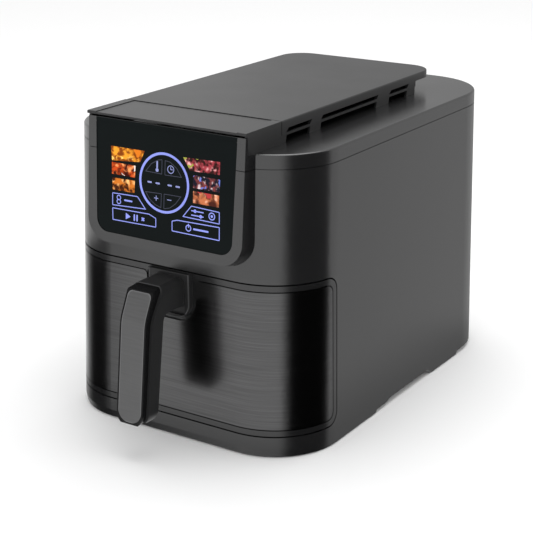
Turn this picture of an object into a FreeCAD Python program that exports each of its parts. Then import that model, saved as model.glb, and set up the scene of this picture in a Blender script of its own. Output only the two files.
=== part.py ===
import FreeCAD, Part
import math
import os
import re

import Sketcher

Vector = FreeCAD.Vector

# Driving dimensions: millimetres, degrees for angles, plain slopes for drafts
SIZES = {
    # body: width and depth at the floor, wall drafts, corner radii
    "body_width": 270.0,
    "body_depth": 403.0,
    "side_draft": 0.018,
    "rear_draft": 0.018,
    "front_draft": 0.03,
    "front_corner": 64.0,
    "rear_corner": 72.0,
    "shell_wall": 3.0,
    "fit_gap": 0.2,
    # lower edge: skirt, tucked front band and the raised stretches between the feet
    "skirt_low": 1.0,
    "tuck_height": 7.0,
    "tuck_inset": 2.0,
    "belly_rise": 6.5,
    "belly_round": 3.0,
    "step_rise": 3.8,
    "tail_rise": 4.5,
    "front_foot_length": 141.5,
    "front_foot_width": 60.0,
    "step_length": 22.0,
    "rear_foot_offset": 139.5,
    "rear_foot_length": 50.0,
    "rear_foot_width": 24.0,
    "rear_foot_slope": 14.0,
    "riser_run": 5.0,
    "foot_block_height": 6.0,
    "pad_radius": 8.0,
    "pad_depth": 3.0,
    "pad_border": 3.0,
    "front_pad_inset": 31.0,
    "front_pad_setback": 73.5,
    # base plate
    "base_plate": 3.0,
    "inlet_length": 90.0,
    "inlet_width": 6.0,
    "inlet_pitch": 16.0,
    "inlet_count": 7,
    "post_radius": 6.0,
    "post_side": 54.0,
    "post_end": 48.0,
    "post_height": 6.0,
    # drawer opening, drawer shell and trim panel
    "drawer_low": 20.3,
    "drawer_height": 139.7,
    "drawer_depth": 68.5,
    "drawer_gap": 1.3,
    "drawer_corner": 12.0,
    "drawer_wall": 2.5,
    "back_plate": 2.5,
    "back_inset": 5.0,
    "panel_skin": 0.8,
    "panel_border": 5.5,
    "panel_seam": 0.4,
    "panel_corner": 8.0,
    "notch_side": 4.6,
    "notch_drop": 3.0,
    "notch_round": 5.0,
    "moat_depth": 1.2,
    # upper cap
    "cap_low": 261.0,
    "cap_gap": 0.6,
    "cap_lip": 1.4,
    "cap_height": 13.0,
    "cap_round": 2.0,
    "cap_skin": 3.0,
    "outlet_length": 110.0,
    "outlet_width": 8.0,
    "outlet_pitch": 18.0,
    "outlet_count": 8,
    "outlet_setback": 67.5,
    # console: plane through the top front edge, leaning back, sides flaring to the root
    "console_setback": 0.3,
    "console_rise": 15.0,
    "console_lean": 4.12,
    "console_side": 52.0,
    "console_tall": 112.0,
    "console_corner": 22.0,
    "console_depth": 22.0,
    "console_flare": 4.4,
    "console_lip": 5.0,
    "lip_depth": 1.6,
    "glass_border": 8.5,
    "glass_taper": 2.0,
    "glass_top": 3.3,
    "glass_low_border": 9.6,
    "glass_corner": 12.0,
    "glass_top_corner": 2.0,
    "glass_thick": 3.0,
    "glass_recess": 0.6,
    "window_inset": 4.0,
    "module_inset": 8.0,
    "module_thick": 6.0,
    "board_inset": 6.0,
    "board_thick": 1.6,
    # deck: cover over the console and slotted rear deck
    "deck_overhang": 1.0,
    "deck_lip": 1.1,
    "cover_length": 54.8,
    "deck_gap": 0.8,
    "deck_setback": 57.0,
    "deck_rise": 19.5,
    "deck_corner": 26.0,
    "deck_round": 1.2,
    "cover_skin": 3.0,
    "cover_border": 9.5,
    "cover_recess": 0.6,
    "deck_plate": 7.0,
    "deck_wall": 3.0,
    "deck_overreach": 43.5,
    "slot_margin": 0.5,
    "slot_height": 3.7,
    "slot_slant": 3.5,
    "ridge_margin": 1.3,
    "ridge_step": 0.8,
    "vent_margin": 1.4,
    "first_tab": 7.5,
    "first_slot_length": 39.0,
    "second_tab": 19.0,
    "third_tab": 25.0,
    "third_slot_length": 37.0,
    "last_tab": 18.0,
    # cooking chamber, drawer frame and rails
    "chamber_side": 21.0,
    "chamber_back": 63.5,
    "chamber_above": 6.0,
    "chamber_sheet": 0.8,
    "chamber_corner": 20.0,
    "frame_gap": 1.1,
    "frame_thick": 2.5,
    "frame_rise": 16.0,
    "frame_window_corner": 3.0,
    "window_gap": 0.4,
    "window_floor_gap": 2.2,
    "window_top_gap": 3.5,
    "rail_gap": 1.5,
    "rail_height": 3.7,
    "rail_play": 0.3,
    "rail_setback": 10.0,
    # pan and crisper
    "pan_lift": 3.7,
    "pan_clearance": 4.0,
    "pan_side": 8.0,
    "pan_back": 20.0,
    "pan_draft": 5.0,
    "pan_corner": 28.0,
    "pan_sheet": 1.5,
    "rim_width": 5.5,
    "rim_thick": 1.5,
    "crisper_side": 6.0,
    "crisper_end_gap": 8.65,
    "crisper_rear_gap": 7.0,
    "crisper_corner": 24.0,
    "crisper_lift": 5.0,
    "crisper_height": 8.0,
    "crisper_sheet": 1.5,
    "hole_length": 19.0,
    "hole_width": 7.0,
    "hole_columns": 6,
    "hole_rows": 11,
    "hole_column_pitch": 27.0,
    "hole_row_pitch": 18.0,
    "pan_screw_x": 36.0,
    "pan_screw_inset": 28.0,
    "bumper_radius": 4.0,
    "bumper_play": 0.3,
    "bumper_spread": 60.0,
    # hot air system, all round the vertical fan axis
    "dome_side": 17.0,
    "dome_margin": 1.0,
    "dome_height": 24.0,
    "dome_sheet": 1.0,
    "dome_slope": 8.0,
    "dome_flange": 11.0,
    "dome_bore": 9.0,
    "heater_side": 11.0,
    "heater_pitch": 16.0,
    "heater_tube": 6.5,
    "heater_drop": 6.0,
    "heater_opening": 24.0,
    "heater_bend": 8.0,
    "heater_stub": 11.0,
    "lead_play": 0.4,
    "guard_taper": 7.0,
    "guard_depth": 12.7,
    "guard_sheet": 1.0,
    "guard_rim": 8.0,
    "guard_hole": 8.0,
    "guard_border": 6.0,
    "guard_slot_start": 24.0,
    "guard_slot_width": 5.0,
    "guard_slot_count": 20,
    "shaft_radius": 4.0,
    "shaft_tip": 1.5,
    "shaft_end": 4.0,
    "bearing_play": 0.05,
    "hub_play": 0.03,
    "nut_radius": 7.5,
    "nut_height": 4.5,
    "fan_lift": 4.0,
    "fan_gap": 10.0,
    "fan_height": 14.0,
    "fan_hub": 11.0,
    "fan_sheet": 1.2,
    "fan_blades": 12,
    "cooler_gap": 2.5,
    "cooler_step": 10.0,
    "cooler_height": 8.0,
    "cooler_blades": 9,
    "bracket_gap": 3.5,
    "bracket_sheet": 2.0,
    "bracket_border": 7.0,
    "standoff_radius": 5.0,
    "standoff_gap": 4.0,
    "standoff_angle": 38.0,
    "bracket_bore": 11.0,
    "bracket_window_x": 40.0,
    "bracket_window_inset": 14.0,
    "stator_half_x": 34.0,
    "stator_half_y": 27.0,
    "stator_height": 22.0,
    "stator_corner": 5.0,
    "air_gap": 0.6,
    "rotor_radius": 16.7,
    "bridge_height": 9.0,
    "bridge_strip": 3.0,
    "bridge_half_y": 9.0,
    "bridge_foot": 8.0,
    "boss_radius": 8.0,
    "boss_height": 7.0,
    "screw_radius": 2.0,
    "screw_play": 0.2,
    "screw_head": 4.0,
    "screw_head_height": 2.5,
    "sensor_side": 17.0,
    "sensor_angle": 60.0,
    "sensor_radius": 2.5,
    "sensor_reach": 14.0,
    "sensor_collar": 6.0,
    "sensor_height": 7.0,
    "cutout_radius": 9.0,
    "cutout_height": 8.0,
    # electrics
    "power_half_x": 50.0,
    "power_gap": 9.0,
    "power_length": 72.0,
    "power_drop": 5.6,
    "power_post": 3.5,
    "power_post_inset": 6.0,
    "relay_size": 18.0,
    "capacitor_radius": 8.0,
    "capacitor_height": 18.0,
    "switch_gap": 1.5,
    "switch_width": 9.0,
    "switch_depth": 20.0,
    "switch_drop": 26.0,
    "switch_height": 16.0,
    "plunger_radius": 2.0,
    # rear face
    "grille_half": 50.0,
    "grille_drop": 26.0,
    "grille_height": 40.0,
    "grille_back": 0.8,
    "grille_proud": 1.0,
    "grille_slot": 4.0,
    "grille_border": 5.0,
    "grille_count": 5,
    "gland_inset": 1.0,
    "gland_level": 45.0,
    "gland_radius": 9.0,
    "gland_flange": 12.0,
    "gland_flange_thick": 2.0,
    "gland_reach": 5.0,
    "gland_bore": 3.6,
    # handle: bracket, arm with rear shell, front shell and insert; reaches are measured
    # out from the body's front at the floor, drops down from the drawer's top
    "bracket_half": 22.3,
    "bracket_drop": 44.0,
    "bracket_corner": 15.0,
    "bracket_back": 0.5,
    "bracket_top_gap": 0.5,
    "bracket_round": 0.8,
    "lip_height": 4.0,
    "scoop_depth": 2.0,
    "scoop_height": 8.0,
    "scoop_border": 5.0,
    "arm_half": 16.8,
    "arm_low_drop": 30.0,
    "arm_top_drop": 4.5,
    "arm_top_corner": 8.0,
    "arm_nose": 2.0,
    "collar_rim": 0.8,
    "collar_drop": 3.0,
    "collar_depth": 1.2,
    "collar_corner": 9.0,
    "arm_front_reach": 28.0,
    "arm_front_drop": 4.8,
    "bend_reach": 45.5,
    "bend_drop": 33.5,
    "bend_round": 30.0,
    "tip_reach": 55.5,
    "tip_drop": 123.0,
    "heel_reach": 42.3,
    "heel_drop": 126.5,
    "heel_round": 4.0,
    "crook_reach": 29.5,
    "crook_drop": 29.0,
    "crook_round": 8.0,
    "grip_drop": 127.5,
    "grip_corner": 13.0,
    "shell_half": 14.0,
    "shell_depth": 6.0,
    "shell_corner": 12.0,
    "shell_top_drop": 5.4,
    "shell_front_reach": 39.5,
    "shell_front_drop": 7.4,
    "shell_bend_rise": 1.0,
    "shell_tip_fall": 2.0,
    "insert_half": 12.4,
    "insert_low_drop": 123.5,
    "insert_high_drop": 8.5,
    "insert_thick": 1.2,
    "insert_corner": 10.5,
    "insert_top_corner": 4.0,
    "insert_gap": 0.3,
    "handle_screw_radius": 2.2,
    "handle_screw_spread": 8.0,
    "handle_screw_drop": 18.0,
    "handle_screw_depth": 10.0,
}

# Sizes that follow from the driving ones
TIES = {
    # lower edge
    "tuck_high": "skirt_low + tuck_height",
    "front_foot_end": "body_depth / 2 - front_foot_length",
    "step_end": "front_foot_end - step_length",
    "rear_foot_start": "body_depth / 2 - rear_foot_offset",
    "rear_foot_end": "rear_foot_start + rear_foot_length",
    "front_foot_inner": "body_width / 2 - front_foot_width",
    "rear_foot_inner": "body_width / 2 - rear_foot_width",
    "foot_block_top": "skirt_low + foot_block_height",
    "front_pad_x": "body_width / 2 - front_pad_inset",
    "front_pad_y": "body_depth / 2 - front_pad_setback",
    "rear_pad_x": "rear_foot_inner + pad_radius + pad_border",
    "rear_pad_y": "rear_foot_start + rear_foot_length / 2",
    "post_x": "chamber_half - post_side",
    "post_y": "chamber_rear - post_end",
    # drawer and cap
    "drawer_high": "drawer_low + drawer_height",
    "drawer_end": "body_depth / 2 - drawer_depth",
    "cap_high": "cap_low + cap_height",
    "outlet_start": "deck_seam - outlet_setback",
    # console and deck
    "console_front": "body_depth / 2 - console_setback",
    "console_high": "cap_high + console_rise",
    "console_half": "body_width / 2 - console_side",
    "glass_half_top": "console_half - glass_border",
    "glass_half_low": "glass_half_top - glass_taper",
    "glass_low": "console_tall - glass_low_border",
    "deck_half": "console_half + deck_overhang",
    "deck_front": "console_front + deck_lip",
    "deck_seam": "deck_front - cover_length",
    "deck_rear": "body_depth / 2 - deck_setback",
    "deck_high": "cap_high + deck_rise",
    "deck_wall_end": "deck_rear - deck_overreach",
    "slot_high": "deck_high - deck_plate - slot_margin",
    "slot_low": "slot_high - slot_height",
    "ridge_high": "slot_low - ridge_margin",
    "vent_high": "ridge_high - vent_margin",
    "first_slot_start": "deck_seam - first_tab",
    "first_slot_end": "first_slot_start - first_slot_length",
    "second_slot_start": "first_slot_end - second_tab",
    "second_slot_end": "third_slot_start - third_tab",
    "third_slot_start": "third_slot_end - third_slot_length",
    "third_slot_end": "deck_wall_end - last_tab",
    # chamber, frame, pan and crisper
    "chamber_half": "body_width / 2 - chamber_side",
    "chamber_rear": "body_depth / 2 - chamber_back",
    "chamber_low": "foot_block_top + base_plate + post_height",
    "chamber_high": "drawer_high + chamber_above",
    "frame_front": "drawer_end - frame_gap",
    "frame_high": "chamber_high + frame_rise",
    "frame_window_half": "pan_half_top + rim_width + window_gap",
    "frame_window_low": "pan_low - window_floor_gap",
    "frame_window_high": "pan_high + window_top_gap",
    "rail_width": "chamber_half - chamber_sheet - pan_half_top - rail_gap",
    "rail_end": "pan_rear_top - rail_setback",
    "pan_low": "drawer_low + pan_lift",
    "pan_high": "guard_low - pan_clearance",
    "pan_half_top": "chamber_half - pan_side",
    "pan_half_low": "pan_half_top - pan_draft",
    "pan_rear_top": "chamber_rear - pan_back",
    "pan_rear_low": "pan_rear_top - pan_draft",
    "crisper_half": "pan_half_low - crisper_side",
    "crisper_front": "drawer_end + drawer_gap / 2 + back_inset - crisper_end_gap",
    "crisper_rear": "pan_rear_low - crisper_rear_gap",
    "crisper_low": "pan_low + crisper_lift",
    "crisper_high": "crisper_low + crisper_height",
    # hot air system
    "dome_room": "min(frame_front - frame_thick; chamber_rear) - dome_flange - dome_margin",
    "dome_radius": "min(chamber_half - dome_side; dome_room)",
    "dome_high": "chamber_high + dome_height",
    "heater_outer": "dome_radius - heater_side",
    "heater_inner": "heater_outer - heater_pitch",
    "heater_level": "chamber_high - heater_drop",
    "heater_top": "dome_high + dome_sheet + heater_stub",
    "guard_radius": "dome_radius - guard_taper",
    "guard_low": "chamber_high - chamber_sheet - guard_depth",
    "guard_slot_end": "guard_radius - guard_border",
    "fan_low": "chamber_high + fan_lift",
    "fan_radius": "heater_inner - fan_gap",
    "shaft_low": "fan_low - nut_height - shaft_tip",
    "shaft_high": "bracket_level + bracket_sheet + 2 * bridge_height + stator_height + shaft_end",
    "cooler_low": "dome_high + dome_sheet + cooler_gap",
    "cooler_radius": "fan_radius - cooler_step",
    "bracket_level": "cooler_low + cooler_height + bracket_gap",
    "standoff_ring": "dome_radius + dome_flange + standoff_radius + standoff_gap",
    "standoff_x": "standoff_ring * cos(standoff_angle)",
    "standoff_y": "standoff_ring * sin(standoff_angle)",
    "bracket_half_x": "standoff_x + bracket_border",
    "bracket_half_y": "standoff_y + bracket_border",
    "bracket_window_y": "standoff_y - bracket_window_inset",
    "sensor_x": "(dome_radius - sensor_side) * cos(sensor_angle)",
    "sensor_y": "(dome_radius - sensor_side) * sin(sensor_angle)",
    "sensor_low": "dome_high - sensor_reach",
    # electrics and rear face
    "power_front": "bracket_half_y + power_gap",
    "power_rear": "power_front + power_length",
    "power_level": "cap_low - power_drop",
    "switch_x": "chamber_half + switch_gap + switch_width / 2",
    "switch_low": "chamber_high - switch_drop",
    "grille_high": "cap_low - grille_drop",
    "grille_low": "grille_high - grille_height",
    "grille_inner": "body_depth / 2 - rear_draft * grille_high - shell_wall - grille_back",
    "gland_x": "body_width / 2 - rear_corner - gland_flange - gland_inset",
    # handle
    "bracket_low": "drawer_high - bracket_drop",
    "bracket_face": "body_depth / 2 - bracket_back",
    "arm_low": "drawer_high - arm_low_drop",
    "arm_high": "drawer_high - arm_top_drop",
    "arm_front_y": "body_depth / 2 + arm_front_reach",
    "arm_front_z": "drawer_high - arm_front_drop",
    "bend_y": "body_depth / 2 + bend_reach",
    "bend_z": "drawer_high - bend_drop",
    "tip_y": "body_depth / 2 + tip_reach",
    "tip_z": "drawer_high - tip_drop",
    "heel_y": "body_depth / 2 + heel_reach",
    "heel_z": "drawer_high - heel_drop",
    "crook_y": "body_depth / 2 + crook_reach",
    "crook_z": "drawer_high - crook_drop",
    "grip_low": "drawer_high - grip_drop",
    "shell_top": "drawer_high - shell_top_drop",
    "shell_front_y": "body_depth / 2 + shell_front_reach",
    "shell_front_z": "drawer_high - shell_front_drop",
    "shell_bend_y": "bend_y + shell_depth",
    "shell_bend_z": "bend_z + shell_bend_rise",
    "shell_tip_y": "tip_y + shell_depth",
    "shell_tip_z": "tip_z - shell_tip_fall",
    "insert_low": "drawer_high - insert_low_drop",
    "insert_high": "drawer_high - insert_high_drop",
    "handle_screw_level": "drawer_high - handle_screw_drop",
}

# How far a cut, a blade's root or a screw's tip reaches past a face: just over, well over, or right out
OVER = 1
WELL_OVER = 10
PAST = 60

# How near to a plane the ends of an edge lie when the edge is picked for rounding
NEAR = 0.1

doc = FreeCAD.newDocument("air_fryer")
sheet = doc.addObject("Spreadsheet::Sheet", "sizes")
for row, (alias, number) in enumerate(SIZES.items(), start=1):
    sheet.set(f"A{row}", alias)
    sheet.set(f"B{row}", str(number))
    sheet.setAlias(f"B{row}", alias)
doc.recompute()

NAME = re.compile(r"[a-z][a-z_]+")
PLANES = {
    "top": ((0, 0, 1), "0"),
    "front": ((1, 0, 0), "90"),
    "side": ((1, 1, 1), "120"),
    "console": ((1, 0, 0), "90 - console_lean"),
}
parts = []


# Formulas, sketches and simple solids


def formula(text):
    """Formula whose size names point at the sheet's cells, with tied sizes written out."""

    def cell(found):
        word = found.group(0)
        if word in TIES:
            return f"({formula(TIES[word])})"
        return f"sizes.{word}" if word in SIZES else word

    return NAME.sub(cell, str(text))


def value(text):
    """Number that a formula gives."""
    return float(sheet.evalExpression(formula(text)))


def bind(item, formulas):
    """Bind properties of a document object to formulas."""
    for path, text in formulas.items():
        item.setExpression(path, formula(text))


def place(item, x="0", y="0", z="0"):
    bind(item, {"Placement.Base.x": x, "Placement.Base.y": y, "Placement.Base.z": z})


def keep(item, label):
    """Name a finished sub-part."""
    item.Label = label
    parts.append(item)
    return item


def corner_points(corners):
    """Sharp points, points where each corner is reached and left, arc centres and turns."""
    sharp = [Vector(value(corner[0]), value(corner[1]), 0) for corner in corners]
    found = []
    for index, corner in enumerate(corners):
        here = sharp[index]
        back = (sharp[index - 1] - here).normalize()
        ahead = (sharp[(index + 1) % len(sharp)] - here).normalize()
        if len(corner) == 2:
            found.append((here, here, here, None, True))
            continue
        half = back.getAngle(ahead) / 2
        radius = value(corner[2])
        reach = radius / math.tan(half)
        centre = here + (back + ahead).normalize() * (radius / math.sin(half))
        left_turn = ahead.cross(back).z > 0
        found.append((here, here + back * reach, here + ahead * reach, centre, left_turn))
    return found


def locate(constraints, formulas, geometry, spot, x, y):
    """Fix a sketch point at formulas x, y from the sketch's origin."""
    for kind, axis, text in (("DistanceX", -2, x), ("DistanceY", -1, y)):
        number = value(text)
        if abs(number) < 1e-9:
            constraints.append(Sketcher.Constraint("PointOnObject", geometry, spot, axis))
        elif number > 0:
            formulas[len(constraints)] = f"{text}"
            constraints.append(Sketcher.Constraint(kind, -1, 1, geometry, spot, number))
        else:
            formulas[len(constraints)] = f"-({text})"
            constraints.append(Sketcher.Constraint(kind, geometry, spot, -1, 1, -number))


def draw_loop(sketch, corners):
    """Closed loop through corners (x, y) or (x, y, radius), bound to their formulas."""
    found = corner_points(corners)
    count = len(corners)
    lines = []
    for index in range(count):
        start = found[index][2]
        end = found[(index + 1) % count][1]
        lines.append(sketch.addGeometry(Part.LineSegment(start, end)))
    constraints = []
    formulas = {}
    for index, corner in enumerate(corners):
        before, after = lines[index - 1], lines[index]
        sharp, reached, left, centre, left_turn = found[index]
        if centre is None:
            constraints.append(Sketcher.Constraint("Coincident", before, 2, after, 1))
            locate(constraints, formulas, after, 1, corner[0], corner[1])
            continue
        radius = (reached - centre).Length
        first, last = (reached, left) if left_turn else (left, reached)
        angles = [math.atan2(point.y - centre.y, point.x - centre.x) for point in (first, last)]
        circle = Part.Circle(centre, Vector(0, 0, 1), radius)
        arc = sketch.addGeometry(Part.ArcOfCircle(circle, angles[0], angles[1]))
        point = sketch.addGeometry(Part.Point(sharp), True)
        near, far = (1, 2) if left_turn else (2, 1)
        constraints.append(Sketcher.Constraint("Tangent", before, 2, arc, near))
        constraints.append(Sketcher.Constraint("Tangent", arc, far, after, 1))
        constraints.append(Sketcher.Constraint("PointOnObject", point, 1, before))
        constraints.append(Sketcher.Constraint("PointOnObject", point, 1, after))
        locate(constraints, formulas, point, 1, corner[0], corner[1])
        formulas[len(constraints)] = corner[2]
        constraints.append(Sketcher.Constraint("Radius", arc, radius))
    first_index = sketch.ConstraintCount
    sketch.addConstraint(constraints)
    for index, text in formulas.items():
        sketch.setExpression(f"Constraints[{first_index + index}]", formula(text))


def draw_circle(sketch, x, y, radius):
    """Circle bound to its formulas."""
    centre = Vector(value(x), value(y), 0)
    circle = sketch.addGeometry(Part.Circle(centre, Vector(0, 0, 1), value(radius)))
    constraints = []
    formulas = {}
    locate(constraints, formulas, circle, 3, x, y)
    formulas[len(constraints)] = radius
    constraints.append(Sketcher.Constraint("Radius", circle, value(radius)))
    first_index = sketch.ConstraintCount
    sketch.addConstraint(constraints)
    for index, text in formulas.items():
        sketch.setExpression(f"Constraints[{first_index + index}]", formula(text))


def outline(name, corners, plane="top", x="0", y="0", z="0"):
    """Free sketch of one closed loop on a plane through x, y, z."""
    sketch = doc.addObject("Sketcher::SketchObject", name)
    axis, angle = PLANES[plane]
    turn = FreeCAD.Rotation(Vector(*axis), max(value(angle), 1e-3))
    sketch.Placement = FreeCAD.Placement(Vector(0, 0, 0), turn)
    if plane == "console":
        bind(sketch, {"Placement.Rotation.Angle": angle})
    elif plane == "top":
        sketch.Placement = FreeCAD.Placement()
    place(sketch, x, y, z)
    draw_loop(sketch, corners)
    return sketch


def extrude(name, sketch, forward, back="0"):
    """Solid along the sketch's normal: forward, and back the other way."""
    solid = doc.addObject("Part::Extrusion", name)
    solid.Base = sketch
    solid.DirMode = "Normal"
    solid.Solid = True
    bind(solid, {"LengthFwd": forward, "LengthRev": back})
    return solid


def across(name, corners):
    """Solid right across the body from a side profile (y, z)."""
    return extrude(name, outline(f"{name}_profile", corners, "side"), "body_width", "body_width")


def loft(name, sections):
    solid = doc.addObject("Part::Loft", name)
    solid.Sections = sections
    solid.Solid = True
    solid.Ruled = True
    return solid


def revolve(name, corners):
    """Solid turned round the vertical axis from a profile (radius, height)."""
    solid = doc.addObject("Part::Revolution", name)
    solid.Source = outline(f"{name}_profile", corners, "front")
    solid.Axis = Vector(0, 0, 1)
    solid.Base = Vector(0, 0, 0)
    solid.Angle = 360
    solid.Solid = True
    return solid


def box(name, x0, x1, y0, y1, z0, z1):
    solid = doc.addObject("Part::Box", name)
    bind(solid, {"Length": f"({x1}) - ({x0})", "Width": f"({y1}) - ({y0})", "Height": f"({z1}) - ({z0})"})
    place(solid, x0, y0, z0)
    return solid


def rod(name, x, y, z, radius, length, axis="Z"):
    """Cylinder from x, y, z along +Z, or along +Y."""
    solid = doc.addObject("Part::Cylinder", name)
    if axis == "Y":
        solid.Placement = FreeCAD.Placement(Vector(0, 0, 0), FreeCAD.Rotation(Vector(1, 0, 0), -90))
    bind(solid, {"Radius": radius, "Height": length})
    place(solid, x, y, z)
    return solid


def fuse(name, *items):
    solid = doc.addObject("Part::MultiFuse", name)
    solid.Shapes = list(items)
    solid.Refine = True
    return solid


def group(name, *items):
    """Several separate solids as one sub-part."""
    solids = doc.addObject("Part::Compound", name)
    solids.Links = list(items)
    return solids


def cut(name, base, *tools):
    solid = doc.addObject("Part::Cut", name)
    solid.Base = base
    solid.Tool = tools[0] if len(tools) == 1 else fuse(f"{name}_tools", *tools)
    return solid


def common(name, first, second):
    solid = doc.addObject("Part::Common", name)
    solid.Base = first
    solid.Tool = second
    return solid


def mirrored(name, item):
    """Copy on the other side of the middle plane."""
    solid = doc.addObject("Part::Mirroring", name)
    solid.Source = item
    solid.Base = Vector(0, 0, 0)
    solid.Normal = Vector(1, 0, 0)
    return solid


def both_sides(name, item):
    return fuse(name, item, mirrored(f"{name}_left", item))


def rounded(name, item, radius, wanted):
    """Fillet on the edges that the test picks."""
    doc.recompute()
    solid = doc.addObject("Part::Fillet", name)
    solid.Base = item
    size = value(radius)
    edges = enumerate(item.Shape.Edges, start=1)
    solid.Edges = [(number, size, size) for number, edge in edges if wanted(edge)]
    return solid


def at_height(z):
    """Test for edges that lie level at height z."""
    level = value(z)
    return lambda edge: all(abs(vertex.Z - level) < NEAR for vertex in edge.Vertexes)


# The body's drafted outline


def body_outline(name, height, inset="0", tuck="0"):
    half = f"(body_width / 2 - side_draft * ({height}) - ({inset}))"
    front = f"(body_depth / 2 - front_draft * ({height}) - ({inset}) - ({tuck}))"
    rear = f"(body_depth / 2 - rear_draft * ({height}) - ({inset}))"
    front_round = f"front_corner - ({inset})"
    rear_round = f"rear_corner - ({inset})"
    corners = [
        (f"-{half}", f"-{front}", front_round),
        (half, f"-{front}", front_round),
        (half, rear, rear_round),
        (f"-{half}", rear, rear_round),
    ]
    return outline(name, corners, z=height)


def body_block(name, low, high, inset="0"):
    """Solid of the body between two heights, set in from its outer faces."""
    sections = [body_outline(f"{name}_low", low, inset), body_outline(f"{name}_high", high, inset)]
    return loft(name, sections)


def body_skin(name, low, high, outer, inner):
    """Hollow ring of the body between two insets."""
    core = body_block(f"{name}_core", f"({low}) - {OVER}", f"({high}) + {OVER}", inner)
    return cut(name, body_block(f"{name}_block", low, high, outer), core)


# Console plane: formulas for a sketch set back from the console's front face


def console_plane(depth):
    return {
        "plane": "console",
        "y": f"-console_front + ({depth}) * cos(console_lean)",
        "z": f"console_high - ({depth}) * sin(console_lean)",
    }


def glass_corners(inset):
    """Outline of the glass, set in (or out, when negative)."""
    low_half = f"(glass_half_low - ({inset}))"
    top_half = f"(glass_half_top - ({inset}))"
    low = f"-(glass_low - ({inset}))"
    top = f"-(glass_top + ({inset}))"
    return [
        (f"-{low_half}", low, f"max(glass_corner - ({inset}); 1)"),
        (low_half, low, f"max(glass_corner - ({inset}); 1)"),
        (top_half, top, f"max(glass_top_corner - ({inset}); 1)"),
        (f"-{top_half}", top, f"max(glass_top_corner - ({inset}); 1)"),
    ]


def glass_block(name, inset, start, depth):
    sketch = outline(f"{name}_outline", glass_corners(inset), **console_plane(start))
    return extrude(name, sketch, "0", depth)


def console_ring(name):
    """Raised frame that flares to its root, with a seat for the glass and a window behind."""
    sections = []
    for word, depth, flare in (("face", "0", "0"), ("root", "console_depth", "console_flare")):
        half = f"(console_half + {flare})"
        low = f"-(console_tall + {flare})"
        corners = [
            (f"-{half}", low, f"console_corner + {flare}"),
            (half, low, f"console_corner + {flare}"),
            (half, "0"),
            (f"-{half}", "0"),
        ]
        sections.append(outline(f"{name}_{word}", corners, **console_plane(depth)))
    block = loft(f"{name}_block", sections)
    seat = glass_block(f"{name}_seat", "-fit_gap", f"-{OVER}", f"{OVER} + glass_recess + glass_thick")
    return cut(name, block, seat, console_window(f"{name}_window"))


def console_window(name):
    return glass_block(name, "window_inset", f"-{OVER}", f"console_depth + {WELL_OVER}")


# Housing: drafted shell, feet, lower half of the console frame

outer_shell = loft(
    "housing_outer",
    [
        body_outline("housing_foot", "skirt_low", tuck="tuck_inset"),
        body_outline("housing_band", "tuck_high"),
        body_outline("housing_top", "cap_low"),
    ],
)
inner_space = body_block("housing_inner", f"skirt_low - {OVER}", f"cap_low + {OVER}", "shell_wall")
side_shell = cut("housing_shell", outer_shell, inner_space)

foot_layer = body_block("foot_layer", "skirt_low", "foot_block_top", "tuck_inset")
front_foot = box(
    "front_foot",
    "front_foot_inner",
    "body_width",
    "-body_depth",
    "-front_foot_end",
    "skirt_low",
    "foot_block_top",
)
rear_foot = box(
    "rear_foot",
    "rear_foot_inner",
    "body_width",
    "rear_foot_start - rear_foot_slope",
    "rear_foot_end + riser_run",
    "skirt_low",
    "foot_block_top",
)
feet_right = fuse("feet_right", front_foot, rear_foot)
feet = common("feet", foot_layer, both_sides("feet_region", feet_right))

lower_console = common(
    "lower_console",
    console_ring("lower_ring"),
    box("below_cap", "-body_width", "body_width", "-body_depth", "0", "0", "cap_low"),
)

drawer_opening = across(
    "drawer_opening",
    [
        ("-body_depth", "drawer_low - drawer_gap / 2"),
        ("-drawer_end + drawer_gap / 2", "drawer_low - drawer_gap / 2", "drawer_corner + drawer_gap"),
        ("-drawer_end + drawer_gap / 2", "drawer_high + drawer_gap / 2", "drawer_corner + drawer_gap"),
        ("-body_depth", "drawer_high + drawer_gap / 2"),
    ],
)
belly_cut = across(
    "belly_cut",
    [
        ("-front_foot_end", f"-{OVER}"),
        ("rear_foot_start", f"-{OVER}"),
        ("rear_foot_start - rear_foot_slope", "belly_rise"),
        ("-step_end + riser_run", "belly_rise", "belly_round"),
        ("-step_end", "step_rise", "belly_round"),
        ("-front_foot_end + riser_run / 2", "step_rise"),
    ],
)
tail_cut = across(
    "tail_cut",
    [
        ("rear_foot_end", f"-{OVER}"),
        ("body_depth", f"-{OVER}"),
        ("body_depth", "tail_rise"),
        ("rear_foot_end + riser_run", "tail_rise"),
    ],
)
grille_window = box(
    "grille_window",
    "-grille_half",
    "grille_half",
    f"grille_inner - {WELL_OVER}",
    f"body_depth / 2 + {PAST}",
    "grille_low",
    "grille_high",
)
gland_hole = rod(
    "gland_hole",
    "gland_x",
    f"body_depth / 2 - {2 * WELL_OVER}",
    "gland_level",
    "gland_radius + fit_gap",
    f"{PAST}",
    "Y",
)


def pad_solids(name, radius, height):
    """The four pads, or their seats."""
    solids = []
    for end, x, y in (("front", "front_pad_x", "-front_pad_y"), ("rear", "rear_pad_x", "rear_pad_y")):
        right = rod(f"{name}_{end}", x, y, "0", radius, height)
        solids += [right, mirrored(f"{name}_{end}_left", right)]
    return solids


housing_solid = fuse("housing_solid", side_shell, feet, lower_console)
housing = cut(
    "housing",
    housing_solid,
    drawer_opening,
    belly_cut,
    tail_cut,
    console_window("housing_window"),
    grille_window,
    gland_hole,
    *pad_solids("pad_seat", "pad_radius + fit_gap", "pad_depth"),
)
keep(housing, "housing")
keep(group("pads", *pad_solids("pad", "pad_radius", "pad_depth")), "foot_pads")

# Base plate: lies on the foot blocks, carries the chamber on four posts

plate_top = "foot_block_top + base_plate"
plate = body_block("plate_block", "foot_block_top", plate_top, "shell_wall + fit_gap")


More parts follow.
